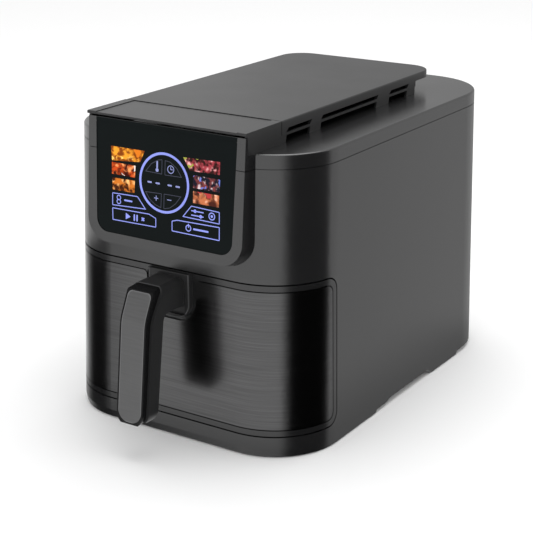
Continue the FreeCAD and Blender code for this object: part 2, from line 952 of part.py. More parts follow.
def four_rods(name, x, y, z, radius, height):
    """Rods at the four corners of a rectangle round the origin."""
    right = [
        rod(f"{name}_{end}", x, f"{sign}({y})", z, radius, height)
        for end, sign in (("front", "-"), ("rear", ""))
    ]
    return right + [mirrored(f"{item.Name}_left", item) for item in right]


inlets = []
for number in range(SIZES["inlet_count"]):
    start = f"(({number}) - inlet_count / 2) * inlet_pitch"
    inlets.append(
        box(
            f"inlet_{number}",
            "-inlet_length / 2",
            "inlet_length / 2",
            start,
            f"{start} + inlet_width",
            f"foot_block_top - {OVER}",
            f"{plate_top} + {OVER}",
        )
    )
base_posts = four_rods(
    "base_post", "post_x", "post_y", plate_top, "post_radius", f"chamber_low - ({plate_top})"
)
base_holes = four_rods(
    "base_hole", "post_x", "post_y", "0", "screw_radius + screw_play", f"chamber_low + {OVER}"
)
base_plate = cut("base_plate", fuse("base_solid", plate, *base_posts), *inlets, *base_holes)
keep(base_plate, "base_plate")

base_heads = four_rods(
    "base_head", "post_x", "post_y", "foot_block_top - screw_head_height", "screw_head", "screw_head_height"
)
base_shanks = four_rods(
    "base_shank",
    "post_x",
    "post_y",
    "foot_block_top",
    "screw_radius",
    "chamber_low + chamber_sheet - foot_block_top",
)
base_screws = [
    fuse(f"base_screw_{number}", head, shank)
    for number, (head, shank) in enumerate(zip(base_heads, base_shanks))
]
keep(group("base_screw_set", *base_screws), "base_screws")

# Upper cap: top shell on a recessed lip, upper half of the console frame

cap_block = rounded(
    "cap_block", body_block("cap_outer", "cap_low + cap_gap", "cap_high"), "cap_round", at_height("cap_high")
)
cap_lip = body_block("cap_lip_block", "cap_low", "cap_low + cap_gap", "cap_lip")
cap_space = body_block("cap_space", f"cap_low - {OVER}", "cap_high - cap_skin", "shell_wall")
upper_console = cut(
    "upper_console",
    common(
        "upper_ring_part",
        console_ring("upper_ring"),
        box(
            "above_cap_seam",
            "-body_width",
            "body_width",
            "-body_depth",
            "0",
            "cap_low + cap_gap",
            f"console_high + {PAST}",
        ),
    ),
    box(
        "cover_space",
        "-body_width",
        "body_width",
        "-console_front + console_lip",
        "0",
        "cap_high",
        f"console_high + {PAST}",
    ),
    both_sides(
        "cover_wall_space",
        box(
            "cover_wall_gap",
            "deck_half - deck_wall - fit_gap",
            "body_width",
            "-console_front + lip_depth",
            "0",
            "cap_high",
            f"console_high + {PAST}",
        ),
    ),
)
outlets = []
for number in range(SIZES["outlet_count"]):
    start = f"-outlet_start + ({number}) * outlet_pitch"
    outlets.append(
        box(
            f"outlet_{number}",
            "-outlet_length / 2",
            "outlet_length / 2",
            start,
            f"{start} + outlet_width",
            "cap_low",
            f"cap_high + {OVER}",
        )
    )
power_top = "power_level + board_thick"
power_posts = []
for end, y in (("front", "power_front + power_post_inset"), ("rear", "power_rear - power_post_inset")):
    post = rod(
        f"power_post_{end}",
        "power_half_x - power_post_inset",
        y,
        power_top,
        "power_post",
        f"cap_high - cap_skin / 2 - ({power_top})",
    )
    power_posts += [post, mirrored(f"power_post_{end}_left", post)]
cap_shell = cut("cap_shell", fuse("cap_solid", cap_block, cap_lip), cap_space)
upper_cap = cut(
    "upper_cap",
    fuse("cap_with_frame", cap_shell, upper_console, *power_posts),
    console_window("cap_window"),
    *outlets,
)
keep(upper_cap, "upper_cap")

# Display stack in the console

glass = glass_block("glass", "0", "glass_recess", "glass_thick")
keep(glass, "display_glass")
module_start = "glass_recess + glass_thick"
keep(glass_block("module", "module_inset", module_start, "module_thick"), "display_module")
keep(glass_block("board", "board_inset", f"{module_start} + module_thick", "board_thick"), "display_board")

# Deck: cover over the console, and the slotted deck behind it

cover_rear = "-deck_seam - deck_gap / 2"
cover_top = box(
    "cover_top", "-deck_half", "deck_half", "-deck_front", cover_rear, "deck_high - cover_skin", "deck_high"
)
cover_wall = box(
    "cover_wall",
    "deck_half - deck_wall",
    "deck_half",
    "-console_front + lip_depth + fit_gap",
    cover_rear,
    "cap_high",
    "deck_high - cover_skin / 2",
)
cover_recess = box(
    "cover_recess",
    "-deck_half + cover_border",
    "deck_half - cover_border",
    f"-deck_front - {OVER}",
    f"{cover_rear} + {OVER}",
    "deck_high - cover_recess",
    f"deck_high + {OVER}",
)
cover_solid = fuse("cover_solid", cover_top, both_sides("cover_walls", cover_wall))


def front_lip(edge):
    """Lower and upper edge of the cover's front lip."""
    on_front = all(abs(vertex.Y + value("deck_front")) < NEAR for vertex in edge.Vertexes)
    return on_front and edge.Length > 2 * PAST


cover = cut("cover", rounded("cover_edges", cover_solid, "deck_round", front_lip), cover_recess)
keep(cover, "console_cover")

deck_start = "-deck_seam + deck_gap / 2"
deck_corners = [
    ("-deck_half", deck_start),
    ("deck_half", deck_start),
    ("deck_half", "deck_rear", "deck_corner"),
    ("-deck_half", "deck_rear", "deck_corner"),
]
deck_top = extrude(
    "deck_top", outline("deck_outline", deck_corners, z="deck_high - deck_plate"), "deck_plate"
)


def rear_deck_edge(edge):
    """Upper edge of the deck, all but its seam."""
    on_seam = all(abs(vertex.Y - value(deck_start)) < NEAR for vertex in edge.Vertexes)
    return at_height("deck_high")(edge) and not on_seam


deck_wall = box(
    "deck_wall",
    "deck_half - deck_wall",
    "deck_half",
    deck_start,
    "deck_wall_end",
    "cap_high",
    "deck_high - deck_plate / 2",
)
deck_ridge = box(
    "deck_ridge",
    "deck_half - ridge_step",
    f"deck_half + {OVER}",
    f"{deck_start} - {OVER}",
    f"deck_wall_end + {OVER}",
    f"cap_high - {OVER}",
    "ridge_high",
)
deck_end = box(
    "deck_end",
    "-deck_half + deck_wall / 2",
    "deck_half - deck_wall / 2",
    "deck_wall_end - deck_wall",
    "deck_wall_end",
    "cap_high",
    "deck_high - deck_plate / 2",
)
deck_walls = both_sides("deck_walls", cut("deck_stepped_wall", deck_wall, deck_ridge))
slots = []
for word, start, end in (
    ("first", "-first_slot_start", "-first_slot_end"),
    ("second", "-second_slot_start", "second_slot_end"),
    ("third", "third_slot_start", "third_slot_end"),
):
    slot = [
        (start, "slot_low"),
        (end, "slot_low"),
        (f"{end} + slot_slant", "slot_high"),
        (f"{start} + slot_slant", "slot_high"),
    ]
    vent = [
        (start, f"cap_high - {OVER}"),
        (end, f"cap_high - {OVER}"),
        (f"{end} + slot_slant / 2", "vent_high"),
        (f"{start} + slot_slant / 2", "vent_high"),
    ]
    slots += [across(f"{word}_slot", slot), across(f"{word}_vent", vent)]
deck_plate = rounded("deck_edges", deck_top, "deck_round", rear_deck_edge)
deck = cut("deck", fuse("deck_solid", deck_plate, deck_walls, deck_end), *slots)
keep(deck, "vent_deck")

# Cooking chamber, the frame at its mouth and the rails inside

frame_rear = "-frame_front + frame_thick"
chamber_corners = [
    ("-chamber_half", frame_rear),
    ("chamber_half", frame_rear),
    ("chamber_half", "chamber_rear", "chamber_corner"),
    ("-chamber_half", "chamber_rear", "chamber_corner"),
]
chamber_inner_half = "(chamber_half - chamber_sheet)"
inner_corners = [
    (f"-{chamber_inner_half}", f"{frame_rear} - {OVER}"),
    (chamber_inner_half, f"{frame_rear} - {OVER}"),
    (chamber_inner_half, "chamber_rear - chamber_sheet", "chamber_corner - chamber_sheet"),
    (f"-{chamber_inner_half}", "chamber_rear - chamber_sheet", "chamber_corner - chamber_sheet"),
]
chamber_roof_low = "(chamber_high - chamber_sheet)"
chamber_outer = extrude(
    "chamber_outer",
    outline("chamber_outline", chamber_corners, z="chamber_low"),
    f"{chamber_roof_low} - chamber_low",
)
chamber_inner = extrude(
    "chamber_inner",
    outline("chamber_space", inner_corners, z="chamber_low + chamber_sheet"),
    "chamber_high - chamber_low",
)
chamber_screw_holes = four_rods(
    "chamber_screw_hole",
    "post_x",
    "post_y",
    f"chamber_low - {OVER}",
    "screw_radius + screw_play",
    f"chamber_sheet + {2 * OVER}",
)
keep(cut("chamber_tub", chamber_outer, chamber_inner, *chamber_screw_holes), "chamber")

roof_plate = extrude(
    "roof_plate", outline("roof_outline", chamber_corners, z=chamber_roof_low), "chamber_sheet"
)
roof_hole = rod(
    "roof_hole", "0", "0", f"{chamber_roof_low} - {OVER}", "dome_radius", f"chamber_sheet + {2 * OVER}"
)
keep(cut("roof", roof_plate, roof_hole), "chamber_roof")

frame_slab = common(
    "frame_slab",
    body_block("frame_block", plate_top, "frame_high", "shell_wall + fit_gap"),
    box("frame_region", "-body_width", "body_width", "-frame_front", frame_rear, "0", "frame_high"),
)
frame_corners = [
    ("-frame_window_half", "frame_window_low", "frame_window_corner"),
    ("frame_window_half", "frame_window_low", "frame_window_corner"),
    ("frame_window_half", "frame_window_high", "frame_window_corner"),
    ("-frame_window_half", "frame_window_high", "frame_window_corner"),
]
frame_window = extrude("frame_window", outline("frame_window_outline", frame_corners, "front"), "body_depth")
plunger_level = "switch_low + switch_height / 2"
plunger_hole = rod(
    "plunger_hole",
    "switch_x",
    f"-frame_front - {OVER}",
    plunger_level,
    "plunger_radius + fit_gap",
    f"frame_thick + {2 * OVER}",
    "Y",
)
keep(cut("front_frame", frame_slab, frame_window, plunger_hole), "front_frame")

rail_top = "pan_high - rim_thick - rail_play"
rail = box(
    "rail",
    f"{chamber_inner_half} - rail_width",
    chamber_inner_half,
    frame_rear,
    "rail_end",
    f"{rail_top} - rail_height",
    rail_top,
)
keep(group("rails", rail, mirrored("rail_left", rail)), "drawer_rails")

# Interlock switch beside the chamber, its plunger on the closed drawer's back

back_rear = "-drawer_end - drawer_gap / 2 - back_inset"
switch_case = box(
    "switch_case",
    "switch_x - switch_width / 2",
    "switch_x + switch_width / 2",
    frame_rear,
    f"{frame_rear} + switch_depth",
    "switch_low",
    "switch_low + switch_height",
)
plunger = rod(
    "plunger",
    "switch_x",
    f"{back_rear} + rail_play",
    plunger_level,
    "plunger_radius",
    f"{frame_rear} + 1 - ({back_rear} + rail_play)",
    "Y",
)
keep(fuse("switch", switch_case, plunger), "interlock_switch")

# Reflector dome, heater and guard

dome_outer = "(dome_radius + dome_sheet)"
flange_top = "(chamber_high + dome_sheet)"
dome_profile = [
    ("dome_bore", "dome_high"),
    ("dome_radius - dome_slope", "dome_high"),
    ("dome_radius", "dome_high - dome_slope"),
    ("dome_radius", "chamber_high"),
    ("dome_radius + dome_flange", "chamber_high"),
    ("dome_radius + dome_flange", flange_top),
    (dome_outer, flange_top),
    (dome_outer, "dome_high - dome_slope"),
    ("dome_radius - dome_slope", "dome_high + dome_sheet"),
    ("dome_bore", "dome_high + dome_sheet"),
]


def polar(radius, degrees, z):
    return Vector(radius * math.cos(math.radians(degrees)), radius * math.sin(math.radians(degrees)), z)


def heater_path():
    """One tube: up, round the outer lap, a hairpin, back round the inner lap and up again."""
    level = value("heater_level")
    bend = value("heater_bend")
    outer = value("heater_outer")
    inner = value("heater_inner")
    top = value("heater_top")
    start = value("heater_opening")
    end = 360 - start
    edges = []

    def lead(radius):
        """Corner points of a lead at the opening: top, bend start, bend middle, bend end."""
        ring = polar(radius, start, level)
        along = polar(1, start - 90, 0)
        foot = ring + along * bend
        middle = ring + along * (bend * math.sin(math.radians(45)))
        middle.z = level + bend * (1 - math.cos(math.radians(45)))
        return Vector(foot.x, foot.y, top), Vector(foot.x, foot.y, level + bend), middle, ring

    tip, rise, middle, ring = lead(outer)
    edges.append(Part.LineSegment(tip, rise).toShape())
    edges.append(Part.Arc(rise, middle, ring).toShape())
    half = (start + end) / 2
    for first, last in ((start, half), (half, end)):
        points = [polar(outer, angle, level) for angle in (first, (first + last) / 2, last)]
        edges.append(Part.Arc(*points).toShape())
    turn = (outer - inner) / 2
    hairpin = polar(outer - turn, end, level) + polar(turn, end + 90, 0)
    edges.append(Part.Arc(polar(outer, end, level), hairpin, polar(inner, end, level)).toShape())
    for first, last in ((end, half), (half, start)):
        points = [polar(inner, angle, level) for angle in (first, (first + last) / 2, last)]
        edges.append(Part.Arc(*points).toShape())
    tip, rise, middle, ring = lead(inner)
    edges.append(Part.Arc(ring, middle, rise).toShape())
    edges.append(Part.LineSegment(rise, tip).toShape())
    return Part.Wire(edges)


def tube(path, radius):
    """Round tube along a path whose first edge runs straight down."""
    start = path.OrderedVertexes[0].Point
    ring = Part.Wire([Part.Circle(start, Vector(0, 0, 1), radius).toShape()])
    return path.makePipe(Part.Face(ring))


heater = doc.addObject("Part::Feature", "heater_tube_solid")
heater.Shape = tube(heater_path(), value("heater_tube") / 2)
keep(heater, "heater")

lead_holes = []
for word in ("heater_outer", "heater_inner"):
    lead_x = f"{word} * cos(heater_opening) + heater_bend * sin(heater_opening)"
    lead_y = f"{word} * sin(heater_opening) - heater_bend * cos(heater_opening)"
    lead_holes.append(
        rod(
            f"{word}_hole",
            lead_x,
            lead_y,
            f"dome_high - {WELL_OVER}",
            "heater_tube / 2 + lead_play",
            f"dome_sheet + {2 * WELL_OVER}",
        )
    )
sensor_hole = rod(
    "sensor_hole",
    "-sensor_x",
    "sensor_y",
    f"dome_high - {WELL_OVER}",
    "sensor_radius + fit_gap",
    f"{2 * WELL_OVER}",
)
keep(cut("dome", revolve("dome_turned", dome_profile), sensor_hole, *lead_holes), "reflector_dome")

guard_top = "(chamber_high - chamber_sheet)"
guard_outer = "(dome_radius + guard_rim)"
guard_profile = [
    ("guard_hole", "guard_low"),
    ("guard_radius", "guard_low"),
    ("dome_radius", f"{guard_top} - guard_sheet"),
    (guard_outer, f"{guard_top} - guard_sheet"),
    (guard_outer, guard_top),
    ("dome_radius - guard_sheet", guard_top),
    ("guard_radius - guard_sheet", "guard_low + guard_sheet"),
    ("guard_hole", "guard_low + guard_sheet"),
]


def turned_body(name, profile):
    """Body with one revolution about the vertical axis."""
    body = doc.addObject("PartDesign::Body", name)
    sketch = body_sketch(body, f"{name}_profile", "XZ_Plane")
    draw_loop(sketch, profile)
    turned = body.newObject("PartDesign::Revolution", f"{name}_turned")
    turned.Profile = sketch
    turned.ReferenceAxis = (sketch, ["V_Axis"])
    turned.Angle = 360
    doc.recompute()
    return body


def body_sketch(body, name, role, offset="0"):
    """Sketch on one of the body's own planes, set off along its normal."""
    sketch = body.newObject("Sketcher::SketchObject", name)
    plane = next(item for item in body.Origin.OriginFeatures if item.Role == role)
    sketch.AttachmentSupport = [(plane, "")]
    sketch.MapMode = "FlatFace"
    bind(sketch, {"AttachmentOffset.Base.z": offset})
    return sketch


def pad(body, name, sketch, length):
    feature = body.newObject("PartDesign::Pad", name)
    feature.Profile = sketch
    bind(feature, {"Length": length})
    doc.recompute()
    return feature


def pocket(body, name, sketch, depth):
    """Pocket upwards from its sketch."""
    feature = body.newObject("PartDesign::Pocket", name)
    feature.Profile = sketch
    feature.Reversed = True
    bind(feature, {"Length": depth})
    doc.recompute()
    return feature


def polar_pattern(body, name, feature, count):
    """Copies of a feature round the body's vertical axis."""
    pattern = body.newObject("PartDesign::PolarPattern", name)
    pattern.Originals = [feature]
    axis = next(item for item in body.Origin.OriginFeatures if item.Role == "Z_Axis")
    pattern.Axis = (axis, [""])
    pattern.Angle = 360
    bind(pattern, {"Occurrences": count})
    body.Tip = pattern
    doc.recompute()
    return pattern


guard = turned_body("guard", guard_profile)
guard_slot = body_sketch(guard, "guard_slot", "XY_Plane", f"guard_low - {OVER}")
draw_loop(
    guard_slot,
    [
        ("guard_slot_start", "-guard_slot_width / 2"),
        ("guard_slot_end", "-guard_slot_width / 2"),
        ("guard_slot_end", "guard_slot_width / 2"),
        ("guard_slot_start", "guard_slot_width / 2"),
    ],
)
guard_pocket = pocket(guard, "guard_pocket", guard_slot, f"guard_sheet + {2 * OVER}")
polar_pattern(guard, "guard_slots", guard_pocket, "guard_slot_count")
keep(guard, "heater_guard")

# Rotor: shaft, hot-air fan, nut, cooling fan and motor rotor


def fan(name, low, height, radius, blades, disc_on_top):
    """Radial fan: hub, disc and upright blades."""
    body = doc.addObject("PartDesign::Body", name)
    hub = body_sketch(body, f"{name}_hub", "XY_Plane", low)
    draw_circle(hub, "0", "0", "fan_hub")
    pad(body, f"{name}_hub_pad", hub, height)
    disc_level = f"{low} + {height} - fan_sheet" if disc_on_top else low
    disc = body_sketch(body, f"{name}_disc", "XY_Plane", disc_level)
    draw_circle(disc, "0", "0", radius)
    pad(body, f"{name}_disc_pad", disc, "fan_sheet")
    bore = body_sketch(body, f"{name}_bore", "XY_Plane", f"{low} - {OVER}")
    draw_circle(bore, "0", "0", "shaft_radius + hub_play")
    pocket(body, f"{name}_bore_pocket", bore, f"{height} + {2 * OVER}")
    blade = body_sketch(body, f"{name}_blade", "XY_Plane", low)
    draw_loop(
        blade,
        [
            (f"fan_hub - {OVER}", "-fan_sheet / 2"),
            (radius, "-fan_sheet / 2"),
            (radius, "fan_sheet / 2"),
            (f"fan_hub - {OVER}", "fan_sheet / 2"),
        ],
    )
    blade_pad = pad(body, f"{name}_blade_pad", blade, height)
    polar_pattern(body, f"{name}_blades", blade_pad, blades)
    return body


keep(fan("hot_fan", "fan_low", "fan_height", "fan_radius", "fan_blades", True), "hot_air_fan")
keep(fan("cool_fan", "cooler_low", "cooler_height", "cooler_radius", "cooler_blades", False), "cooling_fan")
shaft = rod("shaft", "0", "0", "shaft_low", "shaft_radius", "shaft_high - shaft_low")
keep(shaft, "motor_shaft")

nut_block = doc.addObject("Part::Prism", "nut_block")
nut_block.Polygon = 6
bind(nut_block, {"Circumradius": "nut_radius", "Height": "nut_height"})
place(nut_block, z="fan_low - nut_height")
nut_bore = rod(
    "nut_bore",
    "0",
    "0",
    f"fan_low - nut_height - {OVER}",
    "shaft_radius + hub_play",
    f"nut_height + {2 * OVER}",
)
keep(cut("nut", nut_block, nut_bore), "fan_nut")

stator_low = "(bracket_level + bracket_sheet + bridge_height)"
stator_high = f"({stator_low} + stator_height)"
rotor_core = rod("rotor_core", "0", "0", stator_low, "rotor_radius", "stator_height")
rotor_bore = rod(
    "rotor_bore",
    "0",
    "0",
    f"{stator_low} - {OVER}",
    "shaft_radius + hub_play",
    f"stator_height + {2 * OVER}",
)
keep(cut("rotor", rotor_core, rotor_bore), "motor_rotor")

# Motor: bracket on stand-offs, two bearing bridges, stator, two long screws

bracket_plate = box(
    "bracket_plate",
    "-bracket_half_x",
    "bracket_half_x",
    "-bracket_half_y",
    "bracket_half_y",
    "bracket_level",
    "bracket_level + bracket_sheet",
)
bracket_window = box(
    "bracket_window",
    "bracket_window_x",
    "standoff_x - standoff_radius",
    "-bracket_window_y",
    "bracket_window_y",
    f"bracket_level - {OVER}",
    f"bracket_level + bracket_sheet + {OVER}",
)
standoffs = four_rods(
    "standoff", "standoff_x", "standoff_y", "chamber_high", "standoff_radius", "bracket_level - chamber_high"
)
bracket_bore_rod = rod(
    "bracket_bore_rod", "0", "0", f"bracket_level - {OVER}", "bracket_bore", f"bracket_sheet + {2 * OVER}"
)
motor_screw_x = "stator_half_x - bridge_foot / 2"
motor_screw_low = "bracket_level + bracket_sheet"
upper_top = f"({stator_high} + bridge_height)"


def motor_screw_rods(name, low, radius, height):
    right = rod(name, motor_screw_x, "0", low, radius, height)
    return [right, mirrored(f"{name}_left", right)]


def motor_screw_holes(name):
    return motor_screw_rods(
        name,
        f"{motor_screw_low} - {WELL_OVER}",
        "screw_radius + screw_play",
        f"{upper_top} - ({motor_screw_low}) + {2 * WELL_OVER}",
    )


keep(
    cut(
        "bracket",
        fuse("bracket_solid", bracket_plate, *standoffs),
        both_sides("bracket_windows", bracket_window),
        bracket_bore_rod,
    ),
    "motor_bracket",
)


def bridge(name, foot_low, strip_low, boss_low):
    """Bearing bridge: strip with a foot at each end and a bored boss."""
    strip = box(
        f"{name}_strip",
        "-stator_half_x",
        "stator_half_x",
        "-bridge_half_y",
        "bridge_half_y",
        strip_low,
        f"{strip_low} + bridge_strip",
    )
    foot = box(
        f"{name}_foot",
        "stator_half_x - bridge_foot",
        "stator_half_x",
        "-bridge_half_y",
        "bridge_half_y",
        foot_low,
        f"{foot_low} + bridge_height",
    )
    boss = rod(f"{name}_boss", "0", "0", boss_low, "boss_radius", "boss_height")
    bore = rod(
        f"{name}_bore",
        "0",
        "0",
        f"{boss_low} - {OVER}",
        "shaft_radius + bearing_play",
        f"boss_height + {2 * OVER}",
    )
    solid = fuse(f"{name}_solid", strip, both_sides(f"{name}_feet", foot), boss)
    return cut(name, solid, bore, *motor_screw_holes(f"{name}_screw_hole"))


keep(bridge("lower_bridge", motor_screw_low, motor_screw_low, motor_screw_low), "motor_bridge_lower")
keep(
    bridge("upper_bridge", stator_high, f"{upper_top} - bridge_strip", f"{upper_top} - boss_height"),
    "motor_bridge_upper",
)
stator_corners = [
    ("-stator_half_x", "-stator_half_y", "stator_corner"),
    ("stator_half_x", "-stator_half_y", "stator_corner"),
    ("stator_half_x", "stator_half_y", "stator_corner"),
    ("-stator_half_x", "stator_half_y", "stator_corner"),
]
stator_block = extrude(
    "stator_block", outline("stator_outline", stator_corners, z=stator_low), "stator_height"
)
stator_bore = rod(
    "stator_bore",
    "0",
    "0",
    f"{stator_low} - {OVER}",
    "rotor_radius + air_gap",
    f"stator_height + {2 * OVER}",
)
keep(cut("stator", stator_block, stator_bore, *motor_screw_holes("stator_screw_hole")), "motor_stator")

screw_heads = motor_screw_rods("motor_screw_head", upper_top, "screw_head", "screw_head_height")
screw_shanks = motor_screw_rods(
    "motor_screw_shank", motor_screw_low, "screw_radius", f"{upper_top} - ({motor_screw_low})"
)
motor_screws = [
    fuse(f"motor_screw_{number}", head, shank)
    for number, (head, shank) in enumerate(zip(screw_heads, screw_shanks))
]
keep(group("motor_screw_set", *motor_screws), "motor_screws")

# Sensor and thermal cut-out on the dome

dome_top = "(dome_high + dome_sheet)"
sensor_rod = rod(
    "sensor_rod", "-sensor_x", "sensor_y", "sensor_low", "sensor_radius", f"{dome_top} - sensor_low"
)
sensor_head = rod("sensor_head", "-sensor_x", "sensor_y", dome_top, "sensor_collar", "sensor_height")
keep(fuse("sensor", sensor_rod, sensor_head), "temperature_sensor")
keep(rod("cutout", "sensor_x", "sensor_y", dome_top, "cutout_radius", "cutout_height"), "thermal_cutout")

# Power board under the cap

power_plate = box(
    "power_plate",
    "-power_half_x",
    "power_half_x",
    "power_front",
    "power_rear",
    "power_level",
    "power_level + board_thick",
)
relay = box(
    "relay",
    "-relay_size / 2",
    "relay_size / 2",
    "power_front + relay_size / 2",
    "power_front + 3 * relay_size / 2",
    "power_level - relay_size",
    "power_level + board_thick / 2",
)
capacitors = [
    rod(
        f"capacitor_{number}",
        f"{sign} * 1.5 * relay_size",
        "power_rear - 2 * capacitor_radius",
        "power_level - capacitor_height",
        "capacitor_radius",
        "capacitor_height + board_thick / 2",
    )
    for number, sign in enumerate((-1, 1))
]
keep(fuse("power", power_plate, relay, *capacitors), "power_board")

# Rear face: outlet grille and cord inlet

grille_rear = "body_depth / 2 - rear_draft * grille_low + grille_proud"
grille_block = box(
    "grille_block",
    "-grille_half + fit_gap",
    "grille_half - fit_gap",
    "grille_inner",
    grille_rear,
    "grille_low + fit_gap",
    "grille_high - fit_gap",
)
grille_pitch = "(grille_high - grille_low - 2 * grille_border - grille_slot) / (grille_count - 1)"
grille_slots = []
for number in range(SIZES["grille_count"]):
    start = f"grille_low + grille_border + ({number}) * {grille_pitch}"
    grille_slots.append(
        box(
            f"grille_slot_{number}",
            "-grille_half + grille_border",
            "grille_half - grille_border",
            f"grille_inner - {OVER}",
            f"{grille_rear} + {OVER}",
            start,
            f"{start} + grille_slot",
        )
    )
keep(cut("grille", grille_block, *grille_slots), "rear_vent")

gland_seat = "(body_depth / 2 - rear_draft * (gland_level - gland_flange) + fit_gap)"
gland_body = rod(
    "gland_body",
    "gland_x",
    f"{gland_seat} - shell_wall - gland_reach",
    "gland_level",
    "gland_radius",
    "shell_wall + 2 * gland_reach",
    "Y",
)
gland_ring = rod(
    "gland_ring", "gland_x", gland_seat, "gland_level", "gland_flange", "gland_flange_thick", "Y"
)
gland_bore_rod = rod(
    "gland_bore_rod", "gland_x", f"{gland_seat} - {PAST}", "gland_level", "gland_bore", f"{2 * PAST}", "Y"
)
keep(cut("gland", fuse("gland_solid", gland_body, gland_ring), gland_bore_rod), "cord_gland")

# Drawer: shell, back, trim panel

shell_low = "(drawer_low + drawer_gap / 2)"
shell_high = "(drawer_high - drawer_gap / 2)"
shell_end = "(-drawer_end - drawer_gap / 2)"


def wrap_region(name, low, high, end, corner):
    """Everything in front of a rounded end line, between two heights."""
    return across(
        name, [("-body_depth", low), (end, low, corner), (end, high, corner), ("-body_depth", high)]
    )


def panel_region(name, spread):
    return wrap_region(
        name,
        f"{shell_low} + panel_border - ({spread})",
        f"{shell_high} - panel_border + ({spread})",
        f"{shell_end} - panel_border + ({spread})",
        "panel_corner",
    )


drawer_block = common(
    "drawer_block",
    body_block("drawer_outer", shell_low, shell_high),
    wrap_region("drawer_region", shell_low, shell_high, shell_end, "drawer_corner"),
)
drawer_space = body_block(
    "drawer_space", f"{shell_low} + drawer_wall", f"{shell_high} - drawer_wall", "drawer_wall + panel_skin"
)
panel_seat = common(
    "panel_seat",
    body_skin("panel_seat_skin", shell_low, shell_high, f"-{OVER}", "panel_skin"),
    panel_region("panel_seat_region", "panel_seam"),
)
handle_screw_y = "-(bracket_face + handle_screw_depth)"


def handle_screw_rods(name, start, radius, length):
    right = rod(name, "handle_screw_spread", start, "handle_screw_level", radius, length, "Y")
    return [right, mirrored(f"{name}_left", right)]


def handle_screw_holes(name):
    return handle_screw_rods(
        name, f"{handle_screw_y} - {OVER}", "handle_screw_radius + screw_play", f"{PAST}"
    )


def bracket_corners(side, drop, top):
    """U-shaped outline of the handle's bracket, spread at its sides, its foot and its top."""
    half = f"(bracket_half + ({side}))"
    low = f"(bracket_low - ({drop}))"
    high = f"({shell_high} + ({top}))"
    corner = f"bracket_corner + ({side})"
    return [(f"-{half}", low, corner), (half, low, corner), (half, high), (f"-{half}", high)]


moat_corners = bracket_corners("notch_side", "notch_drop", "-panel_border")
moat = common(
    "moat",
    body_skin("moat_skin", shell_low, shell_high, f"-{OVER}", "panel_skin + moat_depth"),
    extrude("moat_region", outline("moat_outline", moat_corners, "front"), "body_depth"),
)
drawer_front = cut(
    "drawer_shell", drawer_block, drawer_space, panel_seat, moat, *handle_screw_holes("drawer_screw_hole")
)
keep(drawer_front, "drawer_front")

pan_screw_levels = ("pan_low + pan_screw_inset", "pan_high - pan_screw_inset")
pan_front = back_rear
pan_screw_front = f"{back_rear} - back_plate - {OVER}"


def pan_screw_rods(name, start, radius, length):
    solids = []
    for number, level in enumerate(pan_screw_levels):
        right = rod(f"{name}_{number}", "pan_screw_x", start, level, radius, length, "Y")
        solids += [right, mirrored(f"{name}_{number}_left", right)]
    return solids


def pan_screw_holes(name):
    return pan_screw_rods(
        name,
        f"{pan_screw_front} - {OVER}",
        "screw_radius + screw_play",
        f"back_plate + pan_sheet + {WELL_OVER}",
    )


back_block = common(
    "back_block",
    body_block(
        "back_layer",
        f"{shell_low} + drawer_wall + fit_gap",
        f"{shell_high} - drawer_wall - fit_gap",
        "drawer_wall + panel_skin + fit_gap",
    ),
    box(
        "back_region",
        "-body_width",
        "body_width",
        f"{back_rear} - back_plate",
        back_rear,
        "0",
        "drawer_high",
    ),
)
keep(cut("back", back_block, *pan_screw_holes("back_screw_hole")), "drawer_back")


panel_skin_block = common(
    "panel_skin_block",
    body_skin("panel_skin_ring", shell_low, shell_high, "0", "panel_skin"),
    panel_region("panel_region", "0"),
)
notch_corners = bracket_corners("notch_side", "notch_drop", "notch_side")
panel_notch = extrude("panel_notch", outline("panel_notch_outline", notch_corners, "front"), "body_depth")


def notch_shoulder(edge):
    """Edges where the notch leaves the panel's top."""
    side = value("bracket_half + notch_side")
    level = value(f"{shell_high} - panel_border")
    return all(abs(abs(vertex.X) - side) < NEAR and abs(vertex.Z - level) < NEAR for vertex in edge.Vertexes)


panel_cut = cut("panel_cut", panel_skin_block, panel_notch)
keep(rounded("panel", panel_cut, "notch_round", notch_shoulder), "trim_panel")

# Handle bracket: U-shaped plate seated in the drawer's front, scooped out under the arm

bracket_slab = extrude(
    "bracket_slab",
    outline("bracket_outline", bracket_corners("0", "0", "-bracket_top_gap"), "front"),
    "bracket_face",
)


def bracket_rim(edge):
    """Edges round the bracket's front face."""
    return all(abs(vertex.Y + value("bracket_face")) < NEAR for vertex in edge.Vertexes)


scoop_low = "bracket_low + lip_height"
scoop_corners = [
    (f"-bracket_face - {OVER}", scoop_low),
    ("-bracket_face + scoop_depth", scoop_low, "scoop_depth / 2"),
    ("-bracket_face", f"{scoop_low} + scoop_height"),
    (f"-bracket_face - {OVER}", f"{scoop_low} + scoop_height"),
]
scoop_half = "(bracket_half - scoop_border)"
scoop = extrude("scoop", outline("scoop_profile", scoop_corners, "side"), scoop_half, scoop_half)
drawer_core = body_block(
    "drawer_core", f"{shell_low} - {WELL_OVER}", f"{shell_high} + {WELL_OVER}", "panel_skin + moat_depth"
)
border_seat = common(
    "border_seat",
    body_skin("border_skin", shell_low, shell_high, "0", "drawer_wall"),
    box(
        "border_region",
        "-body_width",
        "body_width",
        "-body_depth",
        "0",
        f"{shell_high} - panel_border",
        "drawer_high",
    ),
)
handle_plate = cut(
    "handle_plate",
    rounded("bracket_edges", bracket_slab, "bracket_round", bracket_rim),
    drawer_core,
    border_seat,
    scoop,
    *handle_screw_holes("plate_screw_hole"),
)
keep(handle_plate, "handle_bracket")

# Grip: arm with rear shell, front shell and insert


